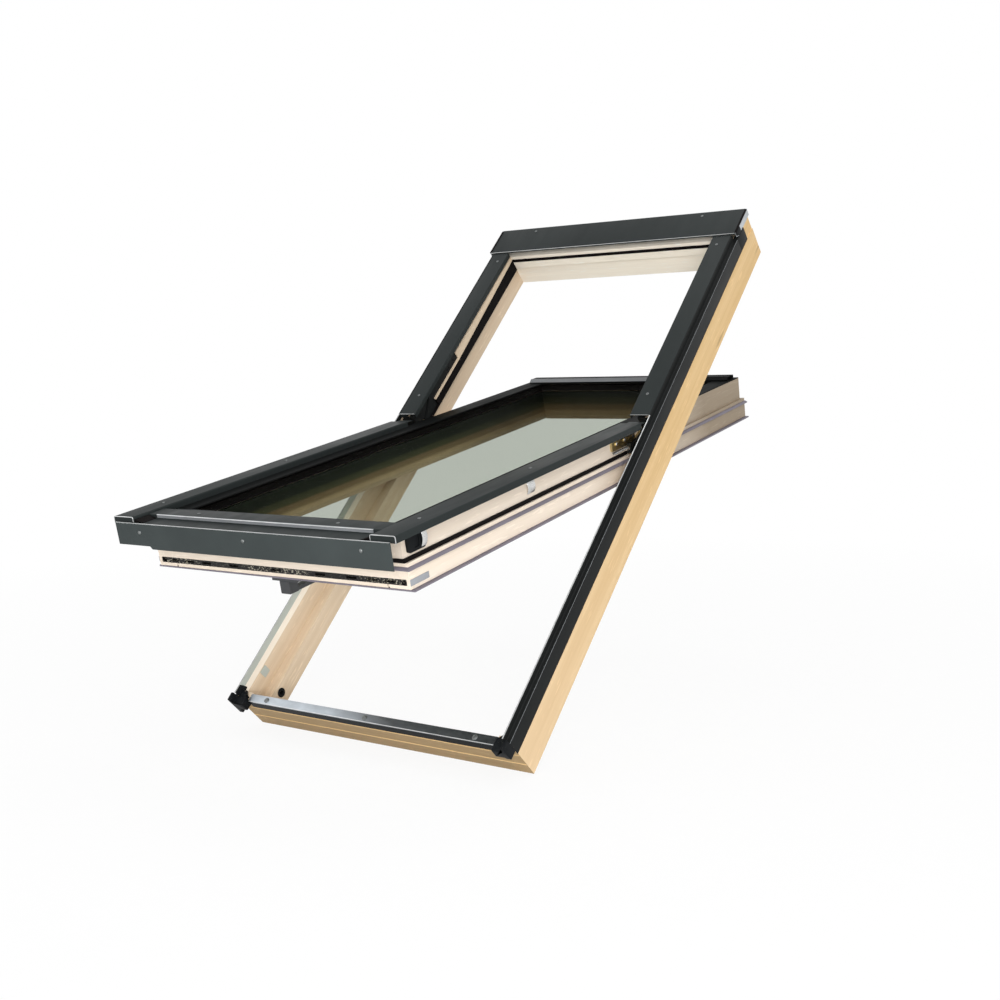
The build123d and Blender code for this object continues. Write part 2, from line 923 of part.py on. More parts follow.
# Hinge runners: a plate on each stile with a curved tongue that rides in the track
tongue_inner = track_radius - tongue_width / 2
tongue_outer = track_radius + tongue_width / 2
arm_high = sash_height - runner_arm_setback
arm_low = arm_high - runner_arm_width
for side, name in ((-1, "left_hinge_runner"), (1, "right_hinge_runner")):
    back = side * sash_narrow
    face = side * (sash_narrow + runner_thickness)
    tip = face + side * tongue_reach
    plate = curved_bar(
        tongue_inner - runner_wall,
        tongue_outer + runner_wall,
        tongue_low_angle,
        tongue_high_angle,
        back,
        face,
    )
    tongue = curved_bar(tongue_inner, tongue_outer, tongue_low_angle, tongue_high_angle, face, tip)
    arm = block((back, face), (pivot_up - runner_arm_length, pivot_up + runner_arm_lap), (arm_low, arm_high))
    with BuildPart() as hinge_runner:
        add(plate.part)
        add(arm.part)
        add(tongue.part)
    hand_over(hinge_runner, name, in_sash)

# Brackets and spring clips at the lower corners, and middle clips on the stiles
bracket_top = sash_low + bracket_setback + bracket_length
bracket_up = bracket_top - bracket_length / 2
bracket_out = sash_height - bracket_drop - bracket_height / 2
bracket_face = sash_narrow + bracket_thickness
with BuildPart() as corner_brackets:
    for side in (-1, 1):
        with BuildSketch(Plane.YZ.offset(side * sash_narrow)):
            with Locations((bracket_up, bracket_out)):
                RectangleRounded(bracket_length, bracket_height, bracket_wall)
        extrude(amount=side * bracket_thickness)
        with BuildSketch(Plane.YZ.offset(side * bracket_face)):
            with Locations((bracket_up, bracket_out)):
                Rectangle(
                    bracket_length - 2 * bracket_wall - 2 * clip_length,
                    bracket_height - 2 * bracket_wall,
                )
        extrude(amount=-side * bracket_pocket_depth, mode=Mode.SUBTRACT)
hand_over(corner_brackets, "corner_brackets", in_sash)

with BuildPart() as corner_clips:
    for side in (-1, 1):
        with BuildSketch(Plane.YZ.offset(side * bracket_face)):
            with Locations((bracket_top - clip_length / 2, bracket_out)):
                Rectangle(clip_length, bracket_height - 2 * clip_inset)
        extrude(amount=side * clip_thickness)
hand_over(corner_clips, "corner_clips", in_sash)

with BuildPart() as stile_clips:
    for side in (-1, 1):
        with BuildSketch(Plane.YZ.offset(side * sash_narrow)):
            with Locations((sash_low + mid_clip_setback, sash_height - mid_clip_drop)):
                RectangleRounded(mid_clip_length, mid_clip_height, mid_clip_round)
        extrude(amount=side * mid_clip_thickness)
hand_over(stile_clips, "stile_clips", in_sash)

# Lock rail: a channel let into the foot of the sash, with a plate round each corner
channel = block((-lock_half, lock_half), (sash_low, lock_back), (lock_low, lock_high))
trough = block(
    (-lock_half + lock_wall, lock_half - lock_wall),
    (sash_low - overrun, lock_back - lock_wall),
    (lock_low + lock_wall, lock_high - lock_wall),
)
with BuildPart() as lock_rail:
    add(channel.part)
    add(trough.part, mode=Mode.SUBTRACT)
hand_over(lock_rail, "lock_rail", in_sash)

with BuildPart() as lock_corner_plates:
    for side, length in ((-1, lock_plate_short_length), (1, lock_plate_length)):
        corner_plate = block(
            (side * sash_wide, side * (sash_wide + lock_plate_thickness)),
            (sash_low, sash_low + length),
            (lock_low, lock_high),
        )
        add(corner_plate.part)
hand_over(lock_corner_plates, "lock_corner_plates", in_sash)

# Lock slider: a pierced bar that slides across in the lock rail
slider_front = sash_low + slider_gap
slider_bar = block(
    (-slider_half, slider_half),
    (slider_front, lock_back - lock_wall - slider_gap),
    (lock_low + lock_wall + slider_gap, lock_high - lock_wall - slider_gap),
)
with BuildPart() as lock_slider:
    add(slider_bar.part)
    with BuildSketch(Plane.XZ.offset(-slider_front)):
        with Locations(*[(share * slider_half, lock_out) for share in slider_slot_shares]):
            Rectangle(slider_slot_length, slider_slot_height)
    extrude(amount=-lock_depth, mode=Mode.SUBTRACT)
hand_over(lock_slider, "lock_slider", in_sash)

# Side bolt: a rod through the left stile with a knob on the room side
knob_high = room_out - bolt_knob_gap
bolt_rod = rod(bolt_up, bolt_out, bolt_radius, -sash_wide + bolt_rest_inset, bolt_tail)
with BuildPart() as side_bolt:
    add(bolt_rod.part)
    with BuildSketch(Plane.XY.offset(bolt_out)):
        with Locations((bolt_pin, bolt_up)):
            Circle(bolt_pin_radius)
    extrude(amount=knob_high - bolt_out)
    with BuildSketch(Plane.XY.offset(knob_high)):
        with Locations((bolt_pin, bolt_up)):
            Circle(bolt_knob_radius)
    extrude(amount=-bolt_knob_height)
hand_over(side_bolt, "side_bolt", in_sash)

guide_half_length = (pin_slot_high - pin_slot_low) / 2 + guide_margin
guide_middle = (pin_slot_high + pin_slot_low) / 2
with BuildPart() as bolt_guide:
    with BuildSketch(Plane.XY.offset(room_out)):
        with Locations((guide_middle, bolt_up)):
            RectangleRounded(2 * guide_half_length, guide_width, guide_margin / 2)
            SlotOverall(pin_slot_high - pin_slot_low, 2 * pin_slot_half, mode=Mode.SUBTRACT)
    extrude(amount=-guide_thickness)
hand_over(bolt_guide, "bolt_guide", in_sash)

# Handle: a base on the room face of the bottom rail, and a lever that turns on a spindle
base_face = room_out - handle_base_height
with BuildPart() as handle_base:
    with BuildSketch(Plane.XY.offset(room_out)):
        with Locations((0, handle_up)):
            RectangleRounded(handle_base_length, handle_base_width, handle_round)
    extrude(amount=-handle_base_height)
    with BuildSketch(Plane.XY.offset(base_face)):
        with Locations((0, handle_up)):
            Circle(spindle_radius + spindle_fit)
    extrude(amount=spindle_length + spindle_gap, mode=Mode.SUBTRACT)
hand_over(handle_base, "handle_base", in_sash)

hub_top = base_face - hub_gap
hub_low = hub_top - hub_height
with BuildPart() as handle_lever:
    with BuildSketch(Plane.XY.offset(hub_low)):
        with Locations((0, handle_up)):
            Rectangle(hub_width, hub_width)
    extrude(amount=hub_height)
    with BuildSketch(Plane.XY.offset(hub_low)):
        with BuildLine():
            Polyline(
                (-lever_width / 2, handle_up),
                (lever_width / 2, handle_up),
                (lever_tip_width / 2, handle_up + lever_reach),
                (-lever_tip_width / 2, handle_up + lever_reach),
                close=True,
            )
        make_face()
    extrude(amount=lever_thickness)
    fillet(handle_lever.faces().sort_by(Axis.Z)[0].edges(), lever_round)
    with BuildSketch(Plane.XY.offset(hub_top)):
        with Locations((0, handle_up)):
            Circle(spindle_radius)
    extrude(amount=spindle_length)
hand_over(handle_lever, "handle_lever", in_sash)

# Screws and rivets
hood_screw_side = half_width - hood_screw_inset
hood_places = [(side * hood_screw_side, hood_back - hood_screw_setback) for side in (-1, 1)]
hood_screws = studs(hood_places, Plane.XY.offset(hood_height), screw_radius, screw_head, screw_bevel)
hand_over(hood_screws, "hood_screws", in_roof)

side_screw_side = half_width - side_screw_inset
cover_screw_ups = (pivot_up + cover_screw_rise, hood_low - cover_screw_setback)
cover_places = [(side * side_screw_side, up) for side in (-1, 1) for up in cover_screw_ups]
cover_screws = studs(cover_places, Plane.XY.offset(cover_height), screw_radius, screw_head, screw_bevel)
hand_over(cover_screws, "cover_screws", in_roof)

sill_screw_side = jamb_inner - sill_screw_inset
sill_places = [(step * sill_screw_side, -half_length + sill_screw_setback) for step in (-1, 0, 1)]
sill_screws = studs(sill_places, Plane.XY.offset(sheet), screw_radius, screw_head, screw_bevel)
hand_over(sill_screws, "sill_screws", in_roof)

low_screw_up = raised_low + cladding_screw_setback
cladding_screw_ups = (low_screw_up, low_screw_up + cladding_screw_spacing)
cladding_places = [(side * side_screw_side, up) for side in (-1, 1) for up in cladding_screw_ups]
cladding_screws = studs(cladding_places, Plane.XY.offset(cover_height), screw_radius, screw_head, screw_bevel)
hand_over(cladding_screws, "cladding_screws", in_sash)

rail_screw_side = sash_inner - rail_screw_inset
rail_places = [(side * rail_screw_side, (ridge_low + ridge_high) / 2) for side in (-1, 1)]
rail_screws = studs(rail_places, Plane.XY.offset(ridge_height), screw_radius, screw_head, screw_bevel)
hand_over(rail_screws, "rail_screws", in_sash)

rivet_side = apron_half - rivet_inset
rivet_places = [(step * rivet_side, apron_height - rivet_drop) for step in (-1, 0, 1)]
apron_rivets = studs(rivet_places, Plane.XZ.offset(-apron_low), rivet_radius, rivet_head, rivet_bevel)
hand_over(apron_rivets, "apron_rivets", in_sash)
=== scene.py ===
import math

import bmesh
import bpy
import numpy as np
from mathutils import Matrix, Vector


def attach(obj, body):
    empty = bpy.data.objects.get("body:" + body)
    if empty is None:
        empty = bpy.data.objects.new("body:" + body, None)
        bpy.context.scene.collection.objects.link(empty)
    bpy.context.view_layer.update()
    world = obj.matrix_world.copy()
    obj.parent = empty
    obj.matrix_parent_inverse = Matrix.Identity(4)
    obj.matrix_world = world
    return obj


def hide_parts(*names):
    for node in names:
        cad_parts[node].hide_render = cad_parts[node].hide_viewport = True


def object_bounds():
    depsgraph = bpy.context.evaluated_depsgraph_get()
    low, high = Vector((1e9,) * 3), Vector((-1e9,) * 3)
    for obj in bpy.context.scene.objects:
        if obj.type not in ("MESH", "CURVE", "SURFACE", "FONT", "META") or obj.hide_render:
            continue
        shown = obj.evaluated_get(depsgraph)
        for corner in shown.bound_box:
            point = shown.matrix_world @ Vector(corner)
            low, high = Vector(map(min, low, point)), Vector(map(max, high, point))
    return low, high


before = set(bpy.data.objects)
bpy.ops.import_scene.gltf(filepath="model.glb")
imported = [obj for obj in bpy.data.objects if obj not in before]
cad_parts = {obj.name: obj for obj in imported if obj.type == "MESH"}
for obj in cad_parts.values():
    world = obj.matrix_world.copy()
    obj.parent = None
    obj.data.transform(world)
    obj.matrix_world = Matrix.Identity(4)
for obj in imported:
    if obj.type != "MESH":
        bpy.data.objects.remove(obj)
CAD_BOX = [list(corner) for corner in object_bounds()]

bl_info = {
    "name": "Roof skylight",
    "version": (1, 0, 0),
    "blender": (4, 5, 0),
    "location": "View3D > Sidebar > Skylight",
    "description": "Dresses a centre-pivot roof window: pine, coated sheet metal, glass, seals and fittings",
    "category": "Object",
}

# The window's own frame, in millimetres: x across, y up the slope, z out of the roof.
METRE = 1000.0
PITCH = math.radians(45.0)
OPEN = math.radians(34.6)
PIVOT_UP = 79.0
PIVOT_OUT = 93.0
SASH_TILT = PITCH - OPEN
SIDES = {"left": -1, "right": 1}
CREASE = math.radians(40.0)

# Folded sheet: its thickness, a thin facing's, the rounding of cut ends, and the gap between two sheets.
SHEET = 1.5
FACING = 0.4
CUT_EDGE = 0.3
PARTING = 0.05

# Covers on the upper half of the jambs.
COVER_INSIDE = 324.0
COVER_OUTSIDE = 376.0
COVER_TUCK = 372.5
COVER_TOP = 26.0
COVER_INNER_LEG = 13.5
COVER_OUTER_LEG = 14.0
COVER_FOOT = 77.5
COVER_HEAD = 714.0

# Flashings along the outer edges of the jambs, with a flat tail above the covers.
UPSTAND = 378.5
FLASHING_OUTSIDE = 389.5
FLASHING_LEDGE = 10.0
FLASHING_LOW = -29.0
FRAME_FOOT = -805.0
TAIL_INSIDE = 377.0
TAIL_HEAD = 763.0

# Strips on the right: lowest and highest corner of the section (across, out), and stretch up the slope.
FLASHING_LINER = ((376.6, 8.7), (377.0, 25.0), (-804.5, 15.0))
REBATE_LIP = ((376.5, -8.0), (376.95, 8.6), (-785.0, 15.0))
REBATE_STOP = ((350.2, -56.5), (376.4, 9.0), (76.0, 76.95))
REBATE_STOP_EDGE = 0.2
REBATE_EDGE = ((349.4, -56.0), (349.95, 9.0), (76.0, 78.9))
COVER_UNDER = ((350.5, 0.3), (372.0, 15.2), (77.8, 78.6))
SEAL_BAND = ((334.0, -46.5), (350.0, -42.0), (90.0, 726.0))
SEAL_CAP = ((334.1, -46.4), (339.9, -25.0), (178.8, 179.9))
HOOD_EDGE = ((384.0, 27.2), (389.6, 30.2), (717.0, 811.0))
CLADDING_TONGUE = ((327.0, 20.6), (370.0, 22.1), (60.0, 107.0))

# Beads of painted highlight along folds across the window: half length, place up the slope, place out, and
# share of the rim's radius.
HOOD_FRONT_FOLD = (385.0, 716.7, 28.3, 0.8)
HOOD_BACK_FOLD = (385.0, 814.2, 28.2, 0.6)
SILL_FOLD = (349.0, -809.2, 0.9, 0.8)
RIDGE_HIGHLIGHT = (291.0, -794.9, 20.9, 1.1)
APRON_HIGHLIGHT = (366.0, -840.85, 14.4, 1.2)

# Beads on the right-hand side, on the bare cut edges of the upstand and the cover's foot, and of painted
# highlight along the ledge fold: their two ends, and share of the rim's radius.
UPSTAND_RIM = ((377.75, -804.0, 25.0), (377.75, 77.0, 25.0), 1.25)
LEDGE_FOLD = ((388.9, -804.0, 9.4), (388.9, 712.0, 9.4), 0.4)
COVER_RIM = ((325.5, 77.9, 25.5), (375.0, 77.9, 25.5), 0.6)

# Hood over the head, with a cheek (up, out) at each end.
HOOD_FOLDS = ((716.0, 24.5), (716.0, 29.0), (815.0, 29.0), (815.0, 9.0))
HOOD_HALF = 386.0
HOOD_CHEEK = ((718.0, 28.4), (747.0, 28.4), (747.0, 11.0), (731.0, 11.0), (718.0, 17.5))
CHEEK_STRETCH = (386.2, 389.8)

# Sill strip (up, out), its lip, the beads in the sill's quirks, and the moulded corner pieces.
SILL_HALF = 350.0
SILL_FOLDS = ((-790.0, 1.5), (-810.0, 1.5), (-810.0, -2.0))
SILL_LIP = ((-810.0, -24.0), (-808.5, -2.0))
QUIRK_HALF = 389.0
QUIRK_UP = -804.4
QUIRKS_OUT = (-36.7, -73.3)
QUIRK_RADIUS = 1.8
CORNER_LOW = {"left": -31.0, "right": -18.0}
CORNER_INSIDE = 352.0
CORNER_FOOT = -826.0
CORNER_TOP = 10.0
CAP_LOW = -15.0
CAP_STEP = 374.0
CAP_LEG = 378.0
CAP_NECK = 379.5
CAP_SHOULDER = 382.0
CAP_OUTSIDE = 390.0
CAP_TOP = 24.0
TONGUE_OUTSIDE = 375.0
TONGUE_FOOT = -805.5
TONGUE_HEAD = -786.0
TONGUE_LOW = 0.2
TONGUE_HOLLOW = 14.0
CORNER_FIN = ((-805.0, 0.5), (-774.0, 0.5), (-777.0, 10.0), (-783.0, 24.5), (-805.0, 24.5))
FIN_STRETCH = (376.15, 376.55)

# Raised claddings and the black blocks of painted shade in their lower inner corners (across, out), the
# ridged cladding and its facings of painted reflection (up, out), and the rim on a raised cladding's cut end,
# drawn in a little from its outline.
RAISED_FOLDS = ((318.0, 12.0), (318.0, 26.0), (376.0, 26.0), (376.0, 12.0))
RAISED_STRETCH = (-836.0, 75.0)
RAISED_END = (-835.6, -834.4)
RAISED_RIM_UP = -835.5
RAISED_RIM_SHARE = 0.9
RAISED_RIM_ACROSS_SHARE = 0.9985
RAISED_RIM_DROP = 0.5
CORNER_SHADE_BLOCK = ((290.0, 13.6), (317.6, 13.6), (317.6, 21.0), (309.0, 19.0), (300.0, 16.0))
SHADE_BLOCK_STRETCH = (-833.0, -796.0)
BOTTOM_HALF = 317.5
BOTTOM_FOLDS = ((-717.0, 11.5), (-745.0, 11.5), (-753.0, 22.0), (-795.0, 22.0), (-795.0, 13.5),
                (-840.5, 13.5), (-840.5, -11.5))
RIDGE_HALF = 291.0
RIDGE_FOLDS = ((-793.5, 22.3), (-795.5, 20.5), (-795.5, 15.0))
TOP_RIDGE_HALF = 320.0
TOP_RIDGE_FOLDS = ((669.4, 14.3), (677.6, 22.9), (682.0, 22.6))

# Seals: the sash's outline under its lips, where the lips' back and front start out of the roof and how far
# they curl towards the room, and the frame's gasket.
SASH_HALF = 340.0
SASH_HEAD = 732.0
OUTER_LIP_FOOT = -772.0
OUTER_LIP_OUT = (-54.5, -57.5)
OUTER_LIP_CURL = (5.0, 3.4)
OUTER_LIP_SHARE = 0.86
INNER_LIP_FOOT = -763.0
INNER_LIP_OUT = (-98.2, -101.5)
INNER_LIP_CURL = 1.2
INNER_LIP_ROOT = 10.0
HEAD_SEAL = ((726.0, -19.0), (728.0, -10.0))
HEAD_SEAL_HALF = 336.0
STOP_SEAL = ((180.0, -42.0), (725.9, -42.0), (725.9, -13.0), (340.0, -26.0), (180.0, -26.0))
STOP_SEAL_STRETCH = (334.0, 336.0)

# Leaf springs on the sash: foot and top out of the roof, seat across, and stretch up the slope.
LEAF = 0.8
CORNER_SPRING = (-30.0, 5.0, 337.4, (-722.0, -707.0))
STILE_SPRING = (-31.0, -3.0, 331.4, (-354.0, -326.0))
STILE_SPRING_SHARE = 0.8

# Hinge fittings: rivet head (radius, height) and places (up, out), link plates (up, out), and coil springs,
# whose centre is the place of their foot across, up and out.
HINGE_RIVET = ((4.6, 0.0), (4.6, 0.7), (3.9, 1.4), (2.4, 1.9), (0.2, 2.0))
HINGE_RIVET_ACROSS = 337.3
HINGE_RIVETS = ((20.0, -11.0), (56.0, -2.0), (60.0, -10.0), (98.0, -8.0))
HINGE_LINK = ((14.0, -16.0), (58.0, -4.0), (60.0, 3.0), (16.0, -7.0))
LINK_STRETCH = (336.6, 338.1)
HINGE_ARM = ((52.0, -14.0), (104.0, -12.0), (104.0, -4.0), (52.0, -6.0))
ARM_STRETCH = (336.6, 338.0)
COIL_CENTRE = (335.2, 4.0, -30.5)
COIL_LENGTH = 66.0
COIL_RADIUS = 2.6
COIL_WIRE = 0.9
COIL_TURNS = 12

# Fasteners: places across and up the slope, the height they stand at, and the ringed head (radius, height).
HEAD_HEIGHT = 1.4
HOOD_SCREWS = ((-265.0, 799.0), (265.0, 799.0))
HOOD_TOP = 29.0
COVER_SCREWS = tuple((x, y) for x in (-346.0, 346.0) for y in (146.0, 680.0))
CLADDING_SCREWS = tuple((x, y) for x in (-346.0, 346.0) for y in (-728.0, -353.0))
RAIL_SCREWS = ((-188.0, -774.0), (188.0, -774.0))
RAIL_TOP = 22.0
SILL_SCREWS = ((-296.0, -800.0, 1.5), (0.0, -800.0, 1.5), (296.0, -800.0, 1.5))
RINGED_HEAD = ((6.4, 0.0), (6.4, 0.9), (5.6, 1.5), (4.0, 1.5), (3.5, 0.8), (2.9, 1.3), (1.2, 1.4), (0.2, 0.9))
APRON_RIVETS = ((-297.0, -842.0, -4.0), (0.0, -842.0, -4.0), (297.0, -842.0, -4.0))
RIVET_HEIGHT = 2.4
RIVET_TIP = 0.3

# The camera of the photograph in the window's own frame: rows right, down and forward, and its place.
CAMERA_ROWS = np.array([
    [0.8355381948, 0.3787683135, -0.3980081528],
    [0.0611300904, -0.7839877165, -0.6177591541],
    [-0.5460210958, 0.4918310941, -0.6782058226],
])
CAMERA_PLACE = np.array([1776.756, -1711.906, 1932.298])
CAMERA_FOCAL = 1255.624
CAMERA_CENTRE = (535.208, 547.810)
IMAGE_SIZE = 1000.0
SENSOR = 36.0

# The stage, in metres and watts: each lamp's place, size and power.
FLOOR_HALF = 14.0
FLOOR_GAP = 0.002
AMBIENT = 0.55
LAMPS = {
    "front_lamp": ((2.6, -3.9, -0.05), 2.4, 172.0),
    "key_lamp": ((3.2, -2.6, 2.8), 2.6, 60.0),
    "fill_lamp": ((-3.4, -3.0, 1.6), 3.0, 25.0),
    "top_lamp": ((0.4, 0.6, 4.2), 3.0, 40.0),
}


def in_roof(points):
    """Window millimetres to metres in the row frame: the flat window turned up by the roof pitch."""
    x, y, z = np.moveaxis(np.asarray(points, float), -1, 0)
    c, s = math.cos(PITCH), math.sin(PITCH)
    return np.stack([x, y * c - z * s, y * s + z * c], axis=-1) / METRE


def in_sash(points):
    """The same for the sash: first turned open about the hinge centre, then up by the roof pitch."""
    x, y, z = np.moveaxis(np.asarray(points, float), -1, 0)
    c, s = math.cos(OPEN), math.sin(OPEN)
    up, out = y - PIVOT_UP, z - PIVOT_OUT
    return in_roof(np.stack([x, PIVOT_UP + up * c + out * s, PIVOT_OUT - up * s + out * c], axis=-1))


def sash_shift():
    """What a sash point in the row frame still needs, once turned back by the sash's tilt, to lie in the
    closed window, in metres: the closed window's origin, turned back the same way, with its sign changed."""
    x, y, z = in_sash((0.0, 0.0, 0.0))
    c, s = math.cos(SASH_TILT), math.sin(SASH_TILT)
    return (-x, -y * c - z * s, y * s - z * c)


def skin(grid, loop=False):
    """Quads over a grid of points whose last column meets its first. With loop the last row meets the first
    too, and otherwise one cap closes each end. Returns the points, the quads and the caps."""
    rows, cols = grid.shape[:2]
    index = np.arange(rows * cols).reshape(rows, cols)
    caps = [] if loop else [index[0, ::-1], index[-1]]
    index = np.concatenate([index, index[:, :1]], axis=1)
    if loop:
        index = np.concatenate([index, index[:1]], axis=0)
    quads = np.stack([index[:-1, :-1], index[:-1, 1:], index[1:, 1:], index[1:, :-1]], axis=-1)
    return grid.reshape(-1, 3), quads.reshape(-1, 4), caps


def arc_corners(path, radius, steps=5, closed=False):
    """A polyline with its corners rounded: each corner P becomes the curve
    (1-t)^2 A + 2t(1-t) P + t^2 B between points A and B at the radius's tangent length along its sides."""
    path = np.asarray(path, float)
    before = np.roll(path, 1, axis=0) - path
    after = np.roll(path, -1, axis=0) - path
    length_before = np.linalg.norm(before, axis=1, keepdims=True)
    length_after = np.linalg.norm(after, axis=1, keepdims=True)
    before, after = before / length_before, after / length_after
    half = 0.5 * np.arccos(np.clip((before * after).sum(1, keepdims=True), -1, 1))
    most = 0.49 * np.minimum(length_before, length_after)
    cut = np.minimum(radius / np.tan(np.maximum(half, 1e-3)), most)
    t = np.linspace(0, 1, steps)[None, :, None]
    a, b = (path + before * cut)[:, None], (path + after * cut)[:, None]
    curve = (1 - t) ** 2 * a + 2 * t * (1 - t) * path[:, None] + t ** 2 * b
    if closed:
        return curve.reshape(-1, 2)
    return np.concatenate([path[:1], curve[1:-1].reshape(-1, 2), path[-1:]])


def left_of(steps):
    """Unit normals to the left of flat steps (a, b): (-b, a) over the step's length."""
    length = np.maximum(np.linalg.norm(steps, axis=1, keepdims=True), 1e-9)
    return np.stack([-steps[:, 1], steps[:, 0]], axis=1) / length


def thickened(line, thickness):
    """Outline of a strip along an open line: the line, and back along its offset to the left."""
    return np.concatenate([line, (line + left_of(np.gradient(line, axis=0)) * thickness)[::-1]])


def bent_sheet(path, thickness, radius, steps=5):
    """Outline of a sheet folded along a path with rounded bends, thickened to its left."""
    return thickened(arc_corners(path, radius, steps), thickness)


def inset(outline, distance):
    """A closed outline moved inwards by a distance along its corner normals, with sharp corners held back."""
    first = left_of(outline - np.roll(outline, 1, axis=0))
    second = left_of(np.roll(outline, -1, axis=0) - outline)
    x, y = outline.T
    turn = np.sign(np.sum(x * np.roll(y, -1) - np.roll(x, -1) * y))
    reach = distance * turn / np.maximum(1 + (first * second).sum(1), 0.35)
    return outline + (first + second) * reach[:, None]


def carried(outline, low, high, along, edge=0.0):
    """A closed outline carried straight from low to high along y (outline across, out), x (outline up, out)
    or z (outline across, up). With an edge radius its ends close in a quarter round: inset r(1-sin t),
    set back r(1-cos t)."""
    outline = np.asarray(outline, float)
    if edge > 0:
        t = np.linspace(0, math.pi / 2, 4)
        back, shrink = edge * (1 - np.cos(t)), edge * (1 - np.sin(t))
        stations = np.concatenate([low + back, high - back[::-1]])
        shrinks = np.concatenate([shrink, shrink[::-1]])
    else:
        stations, shrinks = np.array([low, high]), np.zeros(2)
    sections = np.stack([inset(outline, d) if d > 0 else outline for d in shrinks])
    place = np.broadcast_to(stations[:, None], sections.shape[:2])
    first, second = sections[..., 0], sections[..., 1]
    order = {"y": (first, place, second), "x": (place, first, second), "z": (first, second, place)}[along]
    return skin(np.stack(order, axis=-1))


def ringed(profile, half, foot, top):
    """A closed profile (reach, out) carried round a rectangle with mitred corners: each profile point
    runs round the rectangle at its own reach outside it."""
    reach, out = np.asarray(profile, float).T
    x = np.stack([-half - reach, half + reach, half + reach, -half - reach])
    y = np.stack([foot - reach, foot - reach, top + reach, top + reach])
    return skin(np.stack([x, y, np.broadcast_to(out, x.shape)], axis=-1), loop=True)


def bead(points, radius, sides=8):
    """A thin round bar along a path: a circle of the radius set across the path at each point."""
    points = np.asarray(points, float)
    tangent = np.gradient(points, axis=0)
    tangent /= np.linalg.norm(tangent, axis=1, keepdims=True)
    helper = np.where(np.abs(tangent[:, :1]) < 0.9, [[1.0, 0.0, 0.0]], [[0.0, 0.0, 1.0]])
    first = np.cross(tangent, helper)
    first /= np.linalg.norm(first, axis=1, keepdims=True)
    second = np.cross(tangent, first)
    turn = np.linspace(0, 2 * math.pi, sides, endpoint=False)
    ring = first[:, None] * np.cos(turn)[None, :, None] + second[:, None] * np.sin(turn)[None, :, None]
    return skin(points[:, None] + radius * ring)


def turned(profile, centre, axis, sides=32):
    """A profile (radius, height) turned about an axis of the window through a centre."""
    radius, height = np.asarray(profile, float).T
    turn = np.linspace(0, 2 * math.pi, sides, endpoint=False)
    u, v, w = {"z": (0, 1, 2), "y": (2, 0, 1), "x": (1, 2, 0)}[axis]
    grid = np.zeros((len(radius), sides, 3))
    grid[..., u] = radius[:, None] * np.cos(turn)
    grid[..., v] = radius[:, None] * np.sin(turn)
    grid[..., w] = height[:, None]
    return skin(grid + np.asarray(centre, float))


def crossed_head(centre, radius, height, sides=40, rings=12):
    """A screw head: height(r, t) = dome of the radius, less a cross recess where the point lies within
    the arms' half width of either diameter and inside the recess radius. The last ring is its foot."""
    arm_half, arm_slope = 0.15, 0.05
    recess_radius, recess_slope, recess_depth = 0.58, 0.08, 0.7
    r = np.concatenate([np.linspace(0.04, 1.0, rings), [1.0]])
    t = np.linspace(0, 2 * math.pi, sides, endpoint=False)
    rr, tt = np.meshgrid(r, t, indexing="ij")
    dome = height * (0.45 + 0.55 * np.sqrt(np.clip(1 - (rr * 0.96) ** 2, 0, 1)))
    arm = np.minimum(np.abs(np.cos(tt)), np.abs(np.sin(tt))) * rr
    recess = np.clip((arm_half - arm) / arm_slope, 0, 1) * np.clip((recess_radius - rr) / recess_slope, 0, 1)
    out = dome - recess * height * recess_depth
    out[-1] = 0.0
    grid = np.stack([radius * rr * np.cos(tt), radius * rr * np.sin(tt), out], axis=-1)
    return skin(grid + np.asarray(centre, float))


def on_side(outline, side):
    """An outline of the right-hand piece, mirrored for the left-hand one."""
    return np.asarray(outline, float) * [side, 1.0]


def between(low, high, side):
    """A stretch across the window on the right, mirrored for the left and put in rising order."""
    return sorted((side * low, side * high))


def box_outline(low, high):
    """The four corners of a rectangle from its lowest and highest corner."""
    return np.array([(low[0], low[1]), (high[0], low[1]), (high[0], high[1]), (low[0], high[1])], float)


def strip(low, high, stretch, side, edge=0.0):
    """A rectangular section carried up the slope on one side of the window."""
    return carried(on_side(box_outline(low, high), side), *stretch, "y", edge)


def rounded_strip(low, high, stretch, side, edge, radius, steps):
    """The same with rounded corners to its section."""
    outline = arc_corners(box_outline(low, high), radius, steps, closed=True)
    return carried(on_side(outline, side), *stretch, "y", edge)


def cross_edge(half, up, out, share):
    """A bead of painted highlight straight across the window, with a share of the rim's radius."""
    return bead([(-half, up, out), (half, up, out)], size_of("rim_radius") * share)


def side_edge(start, end, share, side):
    """A straight bead on one side of the window, with a share of the rim's radius."""
    return bead(np.array([start, end]) * [side, 1.0, 1.0], size_of("rim_radius") * share)


def spring_leaf(foot, top, seat, stretch, rise, side):
    """A leaf spring standing on the sash's side: out(t) = foot + (top - foot) t, across(t) = seat + rise
    sin(pi t), as a thin strip carried along its stretch up the slope."""
    t = np.linspace(0, 1, 13)
    line = np.stack([seat + rise * np.sin(math.pi * t), foot + (top - foot) * t], axis=1)
    return carried(on_side(thickened(line, LEAF), side), *stretch, "y", CUT_EDGE)


